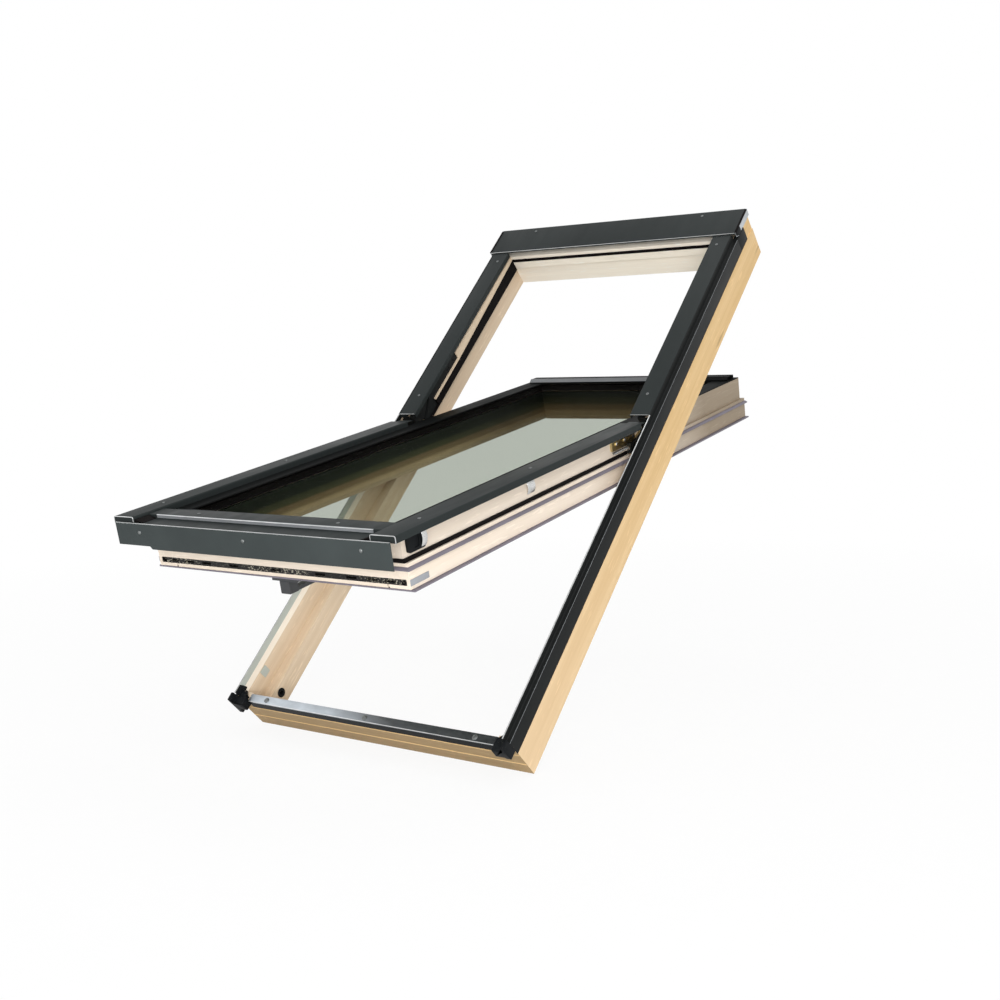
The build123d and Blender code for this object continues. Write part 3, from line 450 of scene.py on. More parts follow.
def piece(name, skins, body, place, finish, stands_for):
    """Joins skins into one mesh in the row frame, with faces outwards and sharp creases, sets what it
    rides on, and hides the CAD nodes it stands for."""
    points = np.concatenate([verts for verts, quads, caps in skins])
    faces, start = [], 0
    for verts, quads, caps in skins:
        faces += (quads + start).tolist()
        faces += [(cap + start).tolist() for cap in caps]
        start += len(verts)
    mesh = bpy.data.meshes.new(name)
    mesh.from_pydata(place(points).tolist(), [], faces)
    work = bmesh.new()
    work.from_mesh(mesh)
    bmesh.ops.recalc_face_normals(work, faces=work.faces[:])
    work.to_mesh(mesh)
    work.free()
    mesh.shade_smooth()
    mesh.set_sharp_from_angle(angle=CREASE)
    mesh.materials.append(finish)
    obj = bpy.data.objects.new(name, mesh)
    bpy.context.scene.collection.objects.link(obj)
    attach(obj, body)
    if stands_for:
        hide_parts(*stands_for)


def frame_piece(name, skins, kind, stands_for=()):
    """A piece on the fixed frame, in a finish of the frame."""
    piece(name, skins, "window_frame", in_roof, finish_of(kind, "window_frame"), stands_for)


def sash_piece(name, skins, kind, stands_for=()):
    """A piece on the sash, in a finish of the sash."""
    piece(name, skins, "sash", in_sash, finish_of(kind, "sash"), stands_for)


def paint(finish, *names):
    """Gives CAD nodes a finish."""
    for name in names:
        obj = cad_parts[name]
        if not obj.material_slots:
            obj.data.materials.append(finish)
        for entry in obj.material_slots:
            entry.material = finish


class Nodes:
    """The node tree of a material or a world, and the shader that it starts with."""

    def __init__(self, owner, shader="Principled BSDF"):
        owner.use_nodes = True
        self.owner = owner
        self.tree = owner.node_tree
        self.shader = self.tree.nodes[shader]

    def give(self, socket, value):
        """Links a socket, or sets its constant."""
        if isinstance(value, bpy.types.NodeSocket):
            self.tree.links.new(value, socket)
        else:
            socket.default_value = value

    def add(self, kind, inputs=(), **settings):
        """A new node with its settings and inputs."""
        node = self.tree.nodes.new(kind)
        for key, value in settings.items():
            setattr(node, key, value)
        for key, value in dict(inputs).items():
            self.give(node.inputs[key], value)
        return node

    def set(self, **values):
        """Inputs of the shader, named with _ for a space."""
        for key, value in values.items():
            self.give(self.shader.inputs[key.replace("_", " ")], value)

    def output(self, shader):
        """Makes another shader the surface."""
        ends = [node for node in self.tree.nodes if node.type in {"OUTPUT_MATERIAL", "OUTPUT_WORLD"}]
        self.tree.links.new(shader.outputs[0], ends[0].inputs["Surface"])

    def placed(self, tilt, turn=0.0, scale=(1, 1, 1)):
        """Object coordinates turned back to the window's own axes, then stretched."""
        coords = self.add("ShaderNodeTexCoord").outputs["Object"]
        level = self.add("ShaderNodeMapping", {"Vector": coords, "Rotation": (-tilt, 0, turn)})
        return self.add("ShaderNodeMapping", {"Vector": level.outputs[0], "Scale": scale}).outputs[0]

    def axes(self, vector):
        """The three parts of a vector."""
        return self.add("ShaderNodeSeparateXYZ", {0: vector}).outputs

    def math(self, operation, *values):
        """A sum of one or two values."""
        return self.add("ShaderNodeMath", dict(enumerate(values)), operation=operation).outputs[0]

    def noise(self, vector, scale, detail=3.0, roughness=0.55, distortion=0.0):
        """Cloudy noise from 0 to 1."""
        return self.add("ShaderNodeTexNoise", {
            "Vector": vector, "Scale": scale, "Detail": detail,
            "Roughness": roughness, "Distortion": distortion,
        }).outputs["Fac"]

    def ramp(self, factor, stops):
        """Colours at stops along a factor."""
        node = self.add("ShaderNodeValToRGB", {"Fac": factor})
        marks = node.color_ramp.elements
        while len(marks) < len(stops):
            marks.new(0.5)
        for mark, (position, colour) in zip(marks, stops):
            mark.position = position
            mark.color = (*colour, 1.0)
        return node.outputs["Color"]

    def level(self, factor, low, high, out_low, out_high):
        """A factor moved from one range to another and held within it."""
        return self.add("ShaderNodeMapRange", {
            "Value": factor, "From Min": low, "From Max": high, "To Min": out_low, "To Max": out_high,
        }).outputs["Result"]

    def mix(self, factor, first, second, blend="MIX"):
        """Two colours mixed by a factor."""
        node = self.add("ShaderNodeMix", data_type="RGBA", blend_type=blend)
        self.give(node.inputs[0], factor)
        for socket, colour in ((node.inputs[6], first), (node.inputs[7], second)):
            self.give(socket, (*colour, 1.0) if isinstance(colour, tuple) else colour)
        return node.outputs[2]

    def bump(self, height, strength, distance):
        """A surface raised by a height."""
        raised = {"Height": height, "Strength": strength, "Distance": distance}
        return self.add("ShaderNodeBump", raised).outputs[0]


WHITE = (1.0, 1.0, 1.0)
BLACK = (0.0, 0.0, 0.0)

# Where the jambs' tones change, in metres: across at the outer face, and up at the cut ends and the foot.
LINING_EDGE = (0.384, 0.386)
CUT_END = (-0.8047, -0.8042)
# Painted shade on the cut ends, which face down the slope: the share of the outer tones that they keep.
CUT_END_SHADE_SHARE = 0.56
PALE_FOOT = (-0.80, 0.10)

# The closed sash's opening for the glass, in metres, and the painted shade on the faces round it, from their
# room edge to the glass.
GLASS_MIDDLE = (0.0, -0.0245)
GLASS_HALF = (0.2905, 0.7066)
GLASS_FADE = 0.0008
ROOM_EDGE = -0.098
GLASS_SHADE_DEPTH = {"stile_pine": -0.034, "rail_pine": -0.022}
GLASS_SHADE_RAMP = [
    (0.0, (0.62, 0.55, 0.42)), (0.32, (0.52, 0.44, 0.31)), (0.40, (0.28, 0.23, 0.15)),
    (0.56, (0.23, 0.18, 0.11)), (0.63, (0.08, 0.09, 0.05)), (0.82, (0.05, 0.06, 0.03)),
    (0.88, (0.008, 0.014, 0.006)), (1.0, (0.004, 0.010, 0.003)),
]
# Painted shade towards the sash's top end: the stretch up the slope, in metres, and the share of colour left
# at the top.
TOP_SHADE_RANGE = (0.10, 0.50)
TOP_SHADE = (0.39, 0.36, 0.31)


def shade(colour, share):
    """A colour scaled to a share of its brightness."""
    return tuple(min(1.0, part * share) for part in colour)


def pine_tones(n, tilt, across):
    """Pine's patterns, drawn out along the grain: wide bands, fibres, short dashes, clouds and knots."""
    turn = math.pi / 2 if across else 0.0
    return {
        "bands": n.noise(n.placed(tilt, turn, (46, 0.9, 46)), 1.0, 3.0, 0.6, 0.6),
        "fibres": n.noise(n.placed(tilt, turn, (620, 9, 620)), 1.0, 2.0),
        "dashes": n.noise(n.placed(tilt, turn, (210, 22, 210)), 1.0, 1.0),
        "cloud": n.noise(n.placed(tilt, turn, (5, 1.6, 5)), 1.0, 2.0),
        "knot": n.add("ShaderNodeTexVoronoi", {
            "Vector": n.placed(tilt, turn, (9, 1.3, 9)), "Scale": 1.0, "Randomness": 1.0,
        }).outputs["Distance"],
    }


def pine_colour(n, tones, pale, deep):
    """Pale and deep bands, clouded, with light dashes, dark fibres and a few knots laid over them."""
    middle = tuple(0.5 * (a + b) for a, b in zip(pale, deep))
    colour = n.ramp(tones["bands"], [(0.3, deep), (0.5, middle), (0.68, pale)])
    colour = n.mix(n.level(tones["cloud"], 0.3, 0.7, 0.0, 0.4), colour, shade(pale, 1.06))
    colour = n.mix(n.level(tones["dashes"], 0.62, 0.7, 0.0, 0.5), colour, shade(pale, 1.22))
    colour = n.mix(n.level(tones["fibres"], 0.35, 0.75, 0.0, 0.14), colour, shade(deep, 0.74))
    return n.mix(n.level(tones["knot"], 0.03, 0.06, 0.55, 0.0), colour, shade(deep, 0.5))


def lined(n, tones, colour, pale, deep):
    """A jamb's colour: its outer face turns paler towards the foot, the faces inside that take the lining's
    tones, and the cut lower end takes the outer tones darkened as painted shade."""
    lining = tone_of("lining_pale"), tone_of("lining_deep")
    parts = n.axes(n.placed(PITCH))
    inner = n.level(n.math("ABSOLUTE", parts[0]), *LINING_EDGE, 1.0, 0.0)
    colour = n.mix(n.level(parts[1], *PALE_FOOT, 0.40, 0.0), colour, shade(lining[0], 1.05))
    colour = n.mix(inner, colour, pine_colour(n, tones, *lining))
    end = pine_colour(n, tones, shade(pale, CUT_END_SHADE_SHARE), shade(deep, CUT_END_SHADE_SHARE))
    return n.mix(n.level(parts[1], *CUT_END, 0.0, 1.0), end, colour)


def painted_sash_shade(n, colour, depth):
    """A sash timber's colour with painted shade: the faces round the glass darken from the room edge up to a
    depth, and the whole timber darkens slowly towards its top end."""
    coords = n.add("ShaderNodeTexCoord").outputs["Object"]
    closed = n.add("ShaderNodeMapping", {
        "Vector": coords, "Rotation": (-SASH_TILT, 0, 0), "Location": sash_shift(),
    })
    parts = n.axes(closed.outputs[0])
    masks = []
    for part, middle, half in zip(parts, GLASS_MIDDLE, GLASS_HALF):
        reach = n.math("ABSOLUTE", n.math("SUBTRACT", part, middle))
        masks.append(n.level(reach, half, half + GLASS_FADE, 1.0, 0.0))
    # Painted shade: darker from the room edge towards the glass, almost black next to it.
    tint = n.ramp(n.level(parts[2], ROOM_EDGE, depth, 0.0, 1.0), GLASS_SHADE_RAMP)
    colour = n.mix(n.math("MULTIPLY", *masks), colour, n.mix(1.0, colour, tint, "MULTIPLY"))
    # Painted shade: darker towards the sash's top end.
    grey = n.ramp(n.level(parts[1], *TOP_SHADE_RANGE, 0.0, 1.0), [(0.0, WHITE), (1.0, TOP_SHADE)])
    return n.mix(1.0, colour, grey, "MULTIPLY")


def pine_finish(name, kind, tilt, across, pale, deep):
    """Lacquered pine with its fibres raised, lined on the jambs, and with painted shade on their cut ends,
    round the glass and on the sash's top end.
    """
    n = Nodes(bpy.data.materials.new(name))
    tones = pine_tones(n, tilt, across)
    colour = pine_colour(n, tones, pale, deep)
    if kind == "jamb_pine":
        colour = lined(n, tones, colour, pale, deep)
    if kind in GLASS_SHADE_DEPTH:
        colour = painted_sash_shade(n, colour, GLASS_SHADE_DEPTH[kind])
    n.set(Base_Color=colour, Roughness=n.level(tones["fibres"], 0.3, 0.8, 0.46, 0.62),
          Normal=n.bump(tones["fibres"], 0.12, 0.0004), Specular_IOR_Level=0.25)
    return n.owner


def coat_finish(name, tilt, colour, rough, gloss, fade):
    """Coated sheet: an even satin colour with faint clouding, fine orange peel and a few dull patches. With a
    fade, a start and an end across the window, the colour darkens between the two: a painted reflection that
    fades out."""
    n = Nodes(bpy.data.materials.new(name))
    cloud = n.noise(n.placed(tilt, 0.0, (5, 3, 5)), 1.0, 4.0)
    peel = n.noise(n.placed(tilt), 900.0, 2.0)
    wipe = n.noise(n.placed(tilt, 0.0, (30, 6, 30)), 1.0, 3.0)
    tone = n.mix(n.level(cloud, 0.3, 0.7, 0.0, 1.0), shade(colour, 0.88), shade(colour, 1.14))
    if fade:
        parts = n.axes(n.placed(tilt))
        tone = n.mix(n.level(parts[0], *fade, 0.0, 1.0), tone, shade(colour, 0.04))
    n.set(Base_Color=tone, Roughness=n.level(wipe, 0.3, 0.7, rough - 0.05, rough + 0.07),
          Normal=n.bump(peel, 0.05, 0.0002), Specular_IOR_Level=gloss)
    return n.owner


def metal_finish(name, tilt, colour, rough, stretch):
    """Bare or plated metal: a metallic colour with cloudy tarnish, and fine lines drawn along it."""
    n = Nodes(bpy.data.materials.new(name))
    drawn = n.noise(n.placed(tilt, 0.0, stretch), 1.0, 3.0)
    cloud = n.noise(n.placed(tilt, 0.0, (35, 35, 35)), 1.0, 3.0)
    tone = n.mix(n.level(cloud, 0.3, 0.7, 0.0, 1.0), shade(colour, 0.8), shade(colour, 1.12))
    n.set(Base_Color=tone, Metallic=1.0, Roughness=n.level(drawn, 0.3, 0.7, rough - 0.06, rough + 0.08),
          Normal=n.bump(drawn, 0.06, 0.0002))
    return n.owner


def sill_strip_reflection_finish(name, tilt, colour):
    """Sill strip with a painted reflection, bright at its left end and darkened step by step towards its
    right end, and clouded with tarnish.
    """
    n = Nodes(bpy.data.materials.new(name))
    drawn = n.noise(n.placed(tilt, 0.0, (30, 500, 500)), 1.0, 3.0)
    parts = n.axes(n.add("ShaderNodeTexCoord").outputs["Object"])
    half = SILL_HALF / METRE
    # Painted reflection: shares of the strip's colour from its left end to its right end.
    steps = ((0.0, 1.5), (0.35, 1.15), (0.62, 0.36), (1.0, 0.16))
    stops = [(at, shade(colour, share)) for at, share in steps]
    tone = n.ramp(n.level(parts[0], -half, half, 0.0, 1.0), stops)
    cloud = n.noise(n.placed(tilt, 0.0, (25, 60, 25)), 1.0, 3.0)
    tone = n.mix(n.level(cloud, 0.3, 0.7, 0.0, 0.35), tone, shade(colour, 0.5))
    n.set(Base_Color=tone, Metallic=1.0, Roughness=n.level(drawn, 0.3, 0.7, 0.30, 0.44),
          Normal=n.bump(drawn, 0.06, 0.0002))
    return n.owner


def moulded_finish(name, tilt, colour, rough, gloss):
    """Moulded plastic or rubber: an even colour with a fine grain and slight dusting."""
    n = Nodes(bpy.data.materials.new(name))
    grain = n.noise(n.placed(tilt), 1400.0, 2.0)
    dust = n.noise(n.placed(tilt, 0.0, (18, 9, 18)), 1.0, 4.0)
    tone = n.mix(n.level(dust, 0.35, 0.75, 0.0, 0.4), colour, shade(colour, 1.6))
    n.set(Base_Color=tone, Roughness=n.level(grain, 0.3, 0.7, rough - 0.06, rough + 0.06),
          Normal=n.bump(grain, 0.1, 0.0002), Specular_IOR_Level=gloss)
    return n.owner


def lock_finish(name, dark, bright):
    """Greased lock strip: black, with specks of worn plating gathered at its ends and middle."""
    n = Nodes(bpy.data.materials.new(name))
    parts = n.axes(n.add("ShaderNodeTexCoord").outputs["Object"])
    along = n.level(n.math("ABSOLUTE", parts[0]), 0.0, SASH_HALF / METRE, 0.0, 1.0)
    greased = shade(WHITE, 0.1)
    worn = n.ramp(along, [(0.18, WHITE), (0.27, greased), (0.62, greased), (0.72, WHITE)])
    grain = n.noise(n.placed(SASH_TILT, 0.0, (210, 330, 330)), 1.0, 2.0, 0.7)
    specks = n.mix(1.0, n.ramp(grain, [(0.57, BLACK), (0.63, WHITE)]), worn, "MULTIPLY")
    n.set(Base_Color=n.mix(specks, dark, bright), Roughness=n.level(grain, 0.4, 0.7, 0.6, 0.35),
          Normal=n.bump(grain, 0.5, 0.001), Specular_IOR_Level=0.3)
    return n.owner


def glass_finish(name, tint):
    """Sealed glazing: a clear tinted sheet with traces of dust that reflects almost nothing."""
    n = Nodes(bpy.data.materials.new(name))
    dust = n.noise(n.placed(SASH_TILT), 60.0, 5.0)
    tone = n.mix(n.level(dust, 0.45, 0.8, 0.0, 0.2), tint, shade(tint, 0.94))
    n.set(Base_Color=tone, Transmission_Weight=1.0, IOR=1.002, Roughness=0.0)
    return n.owner


def colour_setting(name, description, default):
    """A colour that a user may change."""
    return bpy.props.FloatVectorProperty(
        name=name, description=description, default=default, subtype="COLOR", size=3, min=0.0, max=1.0)


def length_setting(name, description, default):
    """A length that a user may change, in metres."""
    return bpy.props.FloatProperty(
        name=name, description=description, default=default, min=0.0, subtype="DISTANCE", precision=4)


class SkylightColours(bpy.types.PropertyGroup):
    """Colours of the window's finishes, as linear values"""
    frame_pine_pale: colour_setting("Frame pine, pale", "Light bands of the frame's pine", (0.72, 0.51, 0.26))
    frame_pine_deep: colour_setting("Frame pine, deep", "Dark bands of the frame's pine", (0.60, 0.39, 0.165))
    lining_pale: colour_setting("Lining pine, pale", "Light bands of the inner faces", (0.72, 0.58, 0.43))
    lining_deep: colour_setting("Lining pine, deep", "Dark bands of the inner faces", (0.64, 0.49, 0.34))
    sash_pine_pale: colour_setting("Sash pine, pale", "Light bands of the sash's pine", (0.80, 0.70, 0.59))
    sash_pine_deep: colour_setting("Sash pine, deep", "Dark bands of the sash's pine", (0.72, 0.61, 0.49))
    pale_lip: colour_setting("Pale pine", "Head rail, and the planed lips of the rebates", (0.93, 0.84, 0.72))
    coating: colour_setting("Sheet coating", "Dark grey coating of the covers", (0.021, 0.025, 0.025))
    coating_dark: colour_setting("Flashing coating", "Darker coating of flashings", (0.010, 0.011, 0.011))
    # Bare edge is also the colour of the beads of painted highlight along folds.
    bare_edge: colour_setting("Bare edge", "Cut edges of the coated sheet", (0.66, 0.67, 0.67))
    # Worn fold is the colour of painted highlights along folds and of the painted reflection on the ridges'
    # facings.
    fold_edge: colour_setting("Worn fold", "Lighter folds of the coated sheet", (0.20, 0.21, 0.22))
    sill_metal: colour_setting("Sill strip", "Grey metal of the sill strip", (0.36, 0.39, 0.42))
    galvanised: colour_setting("Galvanised", "Plates at the ends of the hood", (0.55, 0.58, 0.60))
    primer: colour_setting("Primer", "Grey-green backs of the coated sheet", (0.46, 0.49, 0.45))
    brass: colour_setting("Yellow plating", "Plated hinge runners", (0.66, 0.55, 0.30))
    bright_steel: colour_setting("Bright steel", "Clips and bolts", (0.70, 0.70, 0.69))
    dull_steel: colour_setting("Dull steel", "Screw and rivet heads", (0.20, 0.21, 0.21))
    seal_grey: colour_setting("Grey seal", "Lip seals round the sash", (0.165, 0.150, 0.178))
    seal_black: colour_setting("Black seal", "Gaskets of frame and sash", (0.006, 0.005, 0.005))
    plastic_black: colour_setting("Black plastic", "Moulded corner pieces", (0.010, 0.011, 0.012))
    plastic_grey: colour_setting("Grey plastic", "Moulded keeps and plates", (0.27, 0.28, 0.30))
    handle_grey: colour_setting("Handle", "Dark lacquer of the handle", (0.045, 0.047, 0.050))
    speck: colour_setting("Worn specks", "Worn plating on the lock strip", (0.42, 0.39, 0.30))
    glass_tint: colour_setting("Glass tint", "Colour that one pane lets through", (0.667, 0.692, 0.650))


class SkylightSizes(bpy.types.PropertyGroup):
    """Sizes of the details, in metres"""
    bend_radius: length_setting("Bend radius", "Outer radius of the folds in the sheet metal", 0.0024)
    # The rims are bright beads: bare cut edges, and painted highlights along folds.
    rim_radius: length_setting("Rim radius", "Radius of the bright cut edges", 0.0010)
    seal_lip: length_setting("Seal lip", "Reach of the lip seals beyond the sash", 0.0070)
    screw_radius: length_setting("Screw radius", "Radius of the screw heads", 0.0036)
    rivet_radius: length_setting("Rivet radius", "Radius of the rivet heads", 0.0040)
    spring_rise: length_setting("Spring rise", "Height of the curve of the spring clips", 0.0050)


def size_of(name):
    """A size setting, in the window's millimetres."""
    return getattr(bpy.context.scene.skylight_sizes, name) * METRE


def tone_of(name, share=1.0):
    """A colour setting at a share of its brightness."""
    return shade(getattr(bpy.context.scene.skylight_colours, name), share)


# Pine: whether the grain runs across the window, and the pale and deep colours with their shares.
PINES = {
    "jamb_pine": (False, ("frame_pine_pale", 1.0), ("frame_pine_deep", 1.0)),
    "head_pine": (True, ("pale_lip", 1.05), ("pale_lip", 0.97)),
    # The sill at about half the frame pine's brightness: painted shade on its front, which faces down the
    # slope.
    "sill_pine": (True, ("frame_pine_pale", 0.52), ("frame_pine_deep", 0.52)),
    # The quirk beads keep the frame pine's full brightness and show as painted highlight lines on the darker
    # sill.
    "quirk_pine": (True, ("frame_pine_pale", 1.0), ("frame_pine_deep", 1.0)),
    "lip_pine": (False, ("pale_lip", 1.0), ("pale_lip", 0.9)),
    "stile_pine": (False, ("sash_pine_pale", 1.0), ("sash_pine_deep", 1.0)),
    "rail_pine": (True, ("sash_pine_pale", 1.0), ("sash_pine_deep", 1.0)),
}
# Coated sheet: colour and its share, roughness, gloss (None takes the body's) and fade across, in metres.
COATS = {
    "coating": ("coating", 1.0, 0.42, None, None),
    # The apron's coating at 2.1 times its brightness: a painted lighter copy for the light on its front.
    "apron_coating": ("coating", 2.1, 0.42, None, None),
    "capping_coating": ("coating_dark", 0.7, 0.45, 0.01, None),
    "coating_dark": ("coating_dark", 1.0, 0.40, None, None),
    "fold_edge": ("fold_edge", 1.0, 0.40, 0.3, None),
    # Painted reflection on the top ridge's facing, fading out towards the right across the window.
    "ridge_sheen": ("fold_edge", 1.0, 0.40, 0.05, (0.14, 0.24)),
    "primer": ("primer", 1.0, 0.50, 0.3, None),
    "handle_grey": ("handle_grey", 1.0, 0.38, 0.3, None),
}
COAT_GLOSS = {"window_frame": 0.09, "sash": 0.05}
# Metals: roughness, and how the drawn lines are stretched.
METALS = {
    "bare_edge": (0.36, (40, 700, 700)),
    "galvanised": (0.42, (60, 60, 60)),
    "brass": (0.32, (40, 700, 700)),
    "bright_steel": (0.28, (500, 40, 500)),
    "dull_steel": (0.45, (90, 90, 90)),
}
# Plastic and rubber: roughness and gloss.
MOULDED = {
    "seal_grey": (0.5, 0.15),
    "seal_black": (0.6, 0.03),
    "plastic_black": (0.45, 0.035),
    "plastic_grey": (0.45, 0.2),
}
FINISHES = {}


def new_finish(name, kind, body):
    """A finish of a kind from its table, its patterns turned to the body's tilt."""
    tilt = PITCH if body == "window_frame" else SASH_TILT
    if kind in PINES:
        across, pale, deep = PINES[kind]
        return pine_finish(name, kind, tilt, across, tone_of(*pale), tone_of(*deep))
    if kind in COATS:
        colour, share, rough, gloss, fade = COATS[kind]
        gloss = COAT_GLOSS[body] if gloss is None else gloss
        return coat_finish(name, tilt, tone_of(colour, share), rough, gloss, fade)
    if kind in METALS:
        return metal_finish(name, tilt, tone_of(kind), *METALS[kind])
    if kind in MOULDED:
        return moulded_finish(name, tilt, tone_of(kind), *MOULDED[kind])
    if kind == "sill_metal":
        return sill_strip_reflection_finish(name, tilt, tone_of(kind))
    if kind == "lock_strip":
        return lock_finish(name, tone_of("seal_black"), tone_of("speck"))
    raise KeyError(f"no finish called {kind}")


def finish_of(kind, body):
    """The finish of a kind for pieces on the frame or the sash, made once each."""
    name = f"{kind}_{body}"
    if name not in FINISHES:
        FINISHES[name] = new_finish(name, kind, body)
    return FINISHES[name]


class SKYLIGHT_OT_timbers(bpy.types.Operator):
    """Pine on the frame and sash timbers, its grain along each member"""
    bl_idname = "skylight.timbers"
    bl_label = "Timbers"

    def execute(self, context):
        paint(finish_of("jamb_pine", "window_frame"), "left_jamb", "right_jamb")
        paint(finish_of("head_pine", "window_frame"), "head_rail")
        paint(finish_of("sill_pine", "window_frame"), "sill_rail")
        paint(finish_of("stile_pine", "sash"), "left_stile", "right_stile")
        paint(finish_of("rail_pine", "sash"), "top_rail", "bottom_rail")
        return {"FINISHED"}


class SKYLIGHT_OT_glazing(bpy.types.Operator):
    """Tinted panes that cast no shadow, their spacer and the glazing gasket"""
    bl_idname = "skylight.glazing"
    bl_label = "Glazing"

    def execute(self, context):
        panes = ("inner_pane", "outer_pane")
        paint(glass_finish("glazing", tone_of("glass_tint")), *panes)
        for name in panes:
            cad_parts[name].visible_shadow = False
        paint(finish_of("seal_black", "sash"), "glass_spacer", "glazing_gasket")
        return {"FINISHED"}


class SKYLIGHT_OT_frame_metal(bpy.types.Operator):
    """Folded covers and side flashings with their liners, end plates, bright cut edges and a painted
    highlight along each ledge fold
    """
    bl_idname = "skylight.frame_metal"
    bl_label = "Covers and flashings"

    def execute(self, context):
        bend = size_of("bend_radius")
        cover = bent_sheet([
            (COVER_INSIDE, COVER_INNER_LEG), (COVER_INSIDE, COVER_TOP), (COVER_OUTSIDE, COVER_TOP),
            (COVER_OUTSIDE, COVER_OUTER_LEG), (COVER_TUCK, COVER_OUTER_LEG), (COVER_TUCK, 0.0),
        ], -SHEET, bend)
        skirt = [(FLASHING_OUTSIDE, FLASHING_LEDGE), (FLASHING_OUTSIDE, FLASHING_LOW)]
        flashing = bent_sheet([(UPSTAND, COVER_TOP), (UPSTAND, FLASHING_LEDGE), *skirt], -SHEET, bend)
        tail = bent_sheet([(TAIL_INSIDE, FLASHING_LEDGE), *skirt], -SHEET, bend)
        for word, side in SIDES.items():
            folded = carried(on_side(cover, side), COVER_FOOT, COVER_HEAD, "y", CUT_EDGE)
            frame_piece(f"{word}_cover_sheet", [folded], "coating", [f"{word}_upper_cover"])
            lengths = [carried(on_side(flashing, side), FRAME_FOOT, COVER_HEAD, "y", CUT_EDGE),
                       carried(on_side(tail, side), COVER_HEAD + PARTING, TAIL_HEAD, "y", CUT_EDGE)]
            frame_piece(f"{word}_flashing_sheet", lengths, "coating_dark",
                        [f"{word}_side_flashing"])
            frame_piece(f"{word}_flashing_liner", [strip(*FLASHING_LINER, side)], "primer")
            frame_piece(f"{word}_rebate_lip", [strip(*REBATE_LIP, side)], "lip_pine")
            frame_piece(f"{word}_flashing_rim", [side_edge(*UPSTAND_RIM, side)], "bare_edge")
            frame_piece(f"{word}_flashing_fold", [side_edge(*LEDGE_FOLD, side)], "fold_edge")
            plates = [strip(*REBATE_STOP, side, REBATE_STOP_EDGE), strip(*REBATE_EDGE, side),
                      strip(*COVER_UNDER, side)]
            frame_piece(f"{word}_rebate_end", plates, "coating_dark")
            frame_piece(f"{word}_cover_rim", [side_edge(*COVER_RIM, side)], "bare_edge")
        return {"FINISHED"}


class SKYLIGHT_OT_hood(bpy.types.Operator):
    """Folded hood over the head with painted highlights along its folds, galvanised ends, black cheeks and
    edge strips
    """
    bl_idname = "skylight.hood"
    bl_label = "Hood"

    def execute(self, context):
        hood = bent_sheet(HOOD_FOLDS, -SHEET, size_of("bend_radius"))
        folded = carried(hood, -HOOD_HALF, HOOD_HALF, "x", CUT_EDGE)
        frame_piece("hood_sheet", [folded], "coating", ["head_hood"])
        frame_piece("hood_front_fold", [cross_edge(*HOOD_FRONT_FOLD)], "bare_edge")
        frame_piece("hood_back_fold", [cross_edge(*HOOD_BACK_FOLD)], "fold_edge")
        paint(finish_of("galvanised", "window_frame"), "hood_ends")
        cheek = arc_corners(HOOD_CHEEK, radius=5.0, steps=6, closed=True)
        for word, side in SIDES.items():
            moulding = carried(cheek, *between(*CHEEK_STRETCH, side), "x", edge=0.8)
            frame_piece(f"{word}_hood_cheek", [moulding], "plastic_black")
            edge = rounded_strip(*HOOD_EDGE, side, edge=1.0, radius=1.2, steps=4)
            frame_piece(f"{word}_hood_edge", [edge], "seal_black")
        return {"FINISHED"}


class SKYLIGHT_OT_sill(bpy.types.Operator):
    """Grey sill strip with a painted reflection, a painted highlight along its front fold and a dark lip,
    quirk beads that show as painted highlight lines, and the moulded corner pieces
    """
    bl_idname = "skylight.sill"
    bl_label = "Sill strip and corners"

    def execute(self, context):
        folded = carried(bent_sheet(SILL_FOLDS, SHEET, SHEET), -SILL_HALF, SILL_HALF, "x", CUT_EDGE)
        frame_piece("sill_strip", [folded], "sill_metal", ["sill_flashing"])
        lip = carried(box_outline(*SILL_LIP), -SILL_HALF, SILL_HALF, "x", CUT_EDGE)
        frame_piece("sill_strip_lip", [lip], "plastic_black")
        frame_piece("sill_strip_fold", [cross_edge(*SILL_FOLD)], "bare_edge")
        beads = [bead([(-QUIRK_HALF, QUIRK_UP, out), (QUIRK_HALF, QUIRK_UP, out)], QUIRK_RADIUS)
                 for out in QUIRKS_OUT]
        frame_piece("sill_quirk_beads", beads, "quirk_pine")
        turn = np.linspace(math.pi / 2, 0, 9)
        hollow = np.stack([CORNER_INSIDE + TONGUE_HOLLOW * np.cos(turn),
                           TONGUE_HEAD - TONGUE_HOLLOW * np.sin(turn)], axis=1)
        square = [(CORNER_INSIDE, TONGUE_FOOT), (TONGUE_OUTSIDE, TONGUE_FOOT), (TONGUE_OUTSIDE, TONGUE_HEAD)]
        tongue = np.concatenate([square, hollow])
        fin = arc_corners(CORNER_FIN, radius=3.0, steps=6, closed=True)
        for word, side in SIDES.items():
            low = CORNER_LOW[word]
            cap = arc_corners([
                (CORNER_INSIDE, CAP_LOW), (CAP_STEP, CAP_LOW), (CAP_LEG, low), (CAP_OUTSIDE, low),
                (CAP_OUTSIDE, CAP_TOP), (CAP_SHOULDER, CAP_TOP),
                (CAP_NECK, CORNER_TOP), (CORNER_INSIDE, CORNER_TOP),
            ], radius=2.0, closed=True)
            skins = [carried(on_side(cap, side), CORNER_FOOT, FRAME_FOOT, "y", edge=2.0),
                     carried(fin, *between(*FIN_STRETCH, side), "x"),
                     carried(on_side(tongue, side), TONGUE_LOW, CORNER_TOP, "z", edge=1.0)]
            frame_piece(f"{word}_corner_moulding", skins, "plastic_black",
                        [f"{word}_sill_corner"])
        return {"FINISHED"}


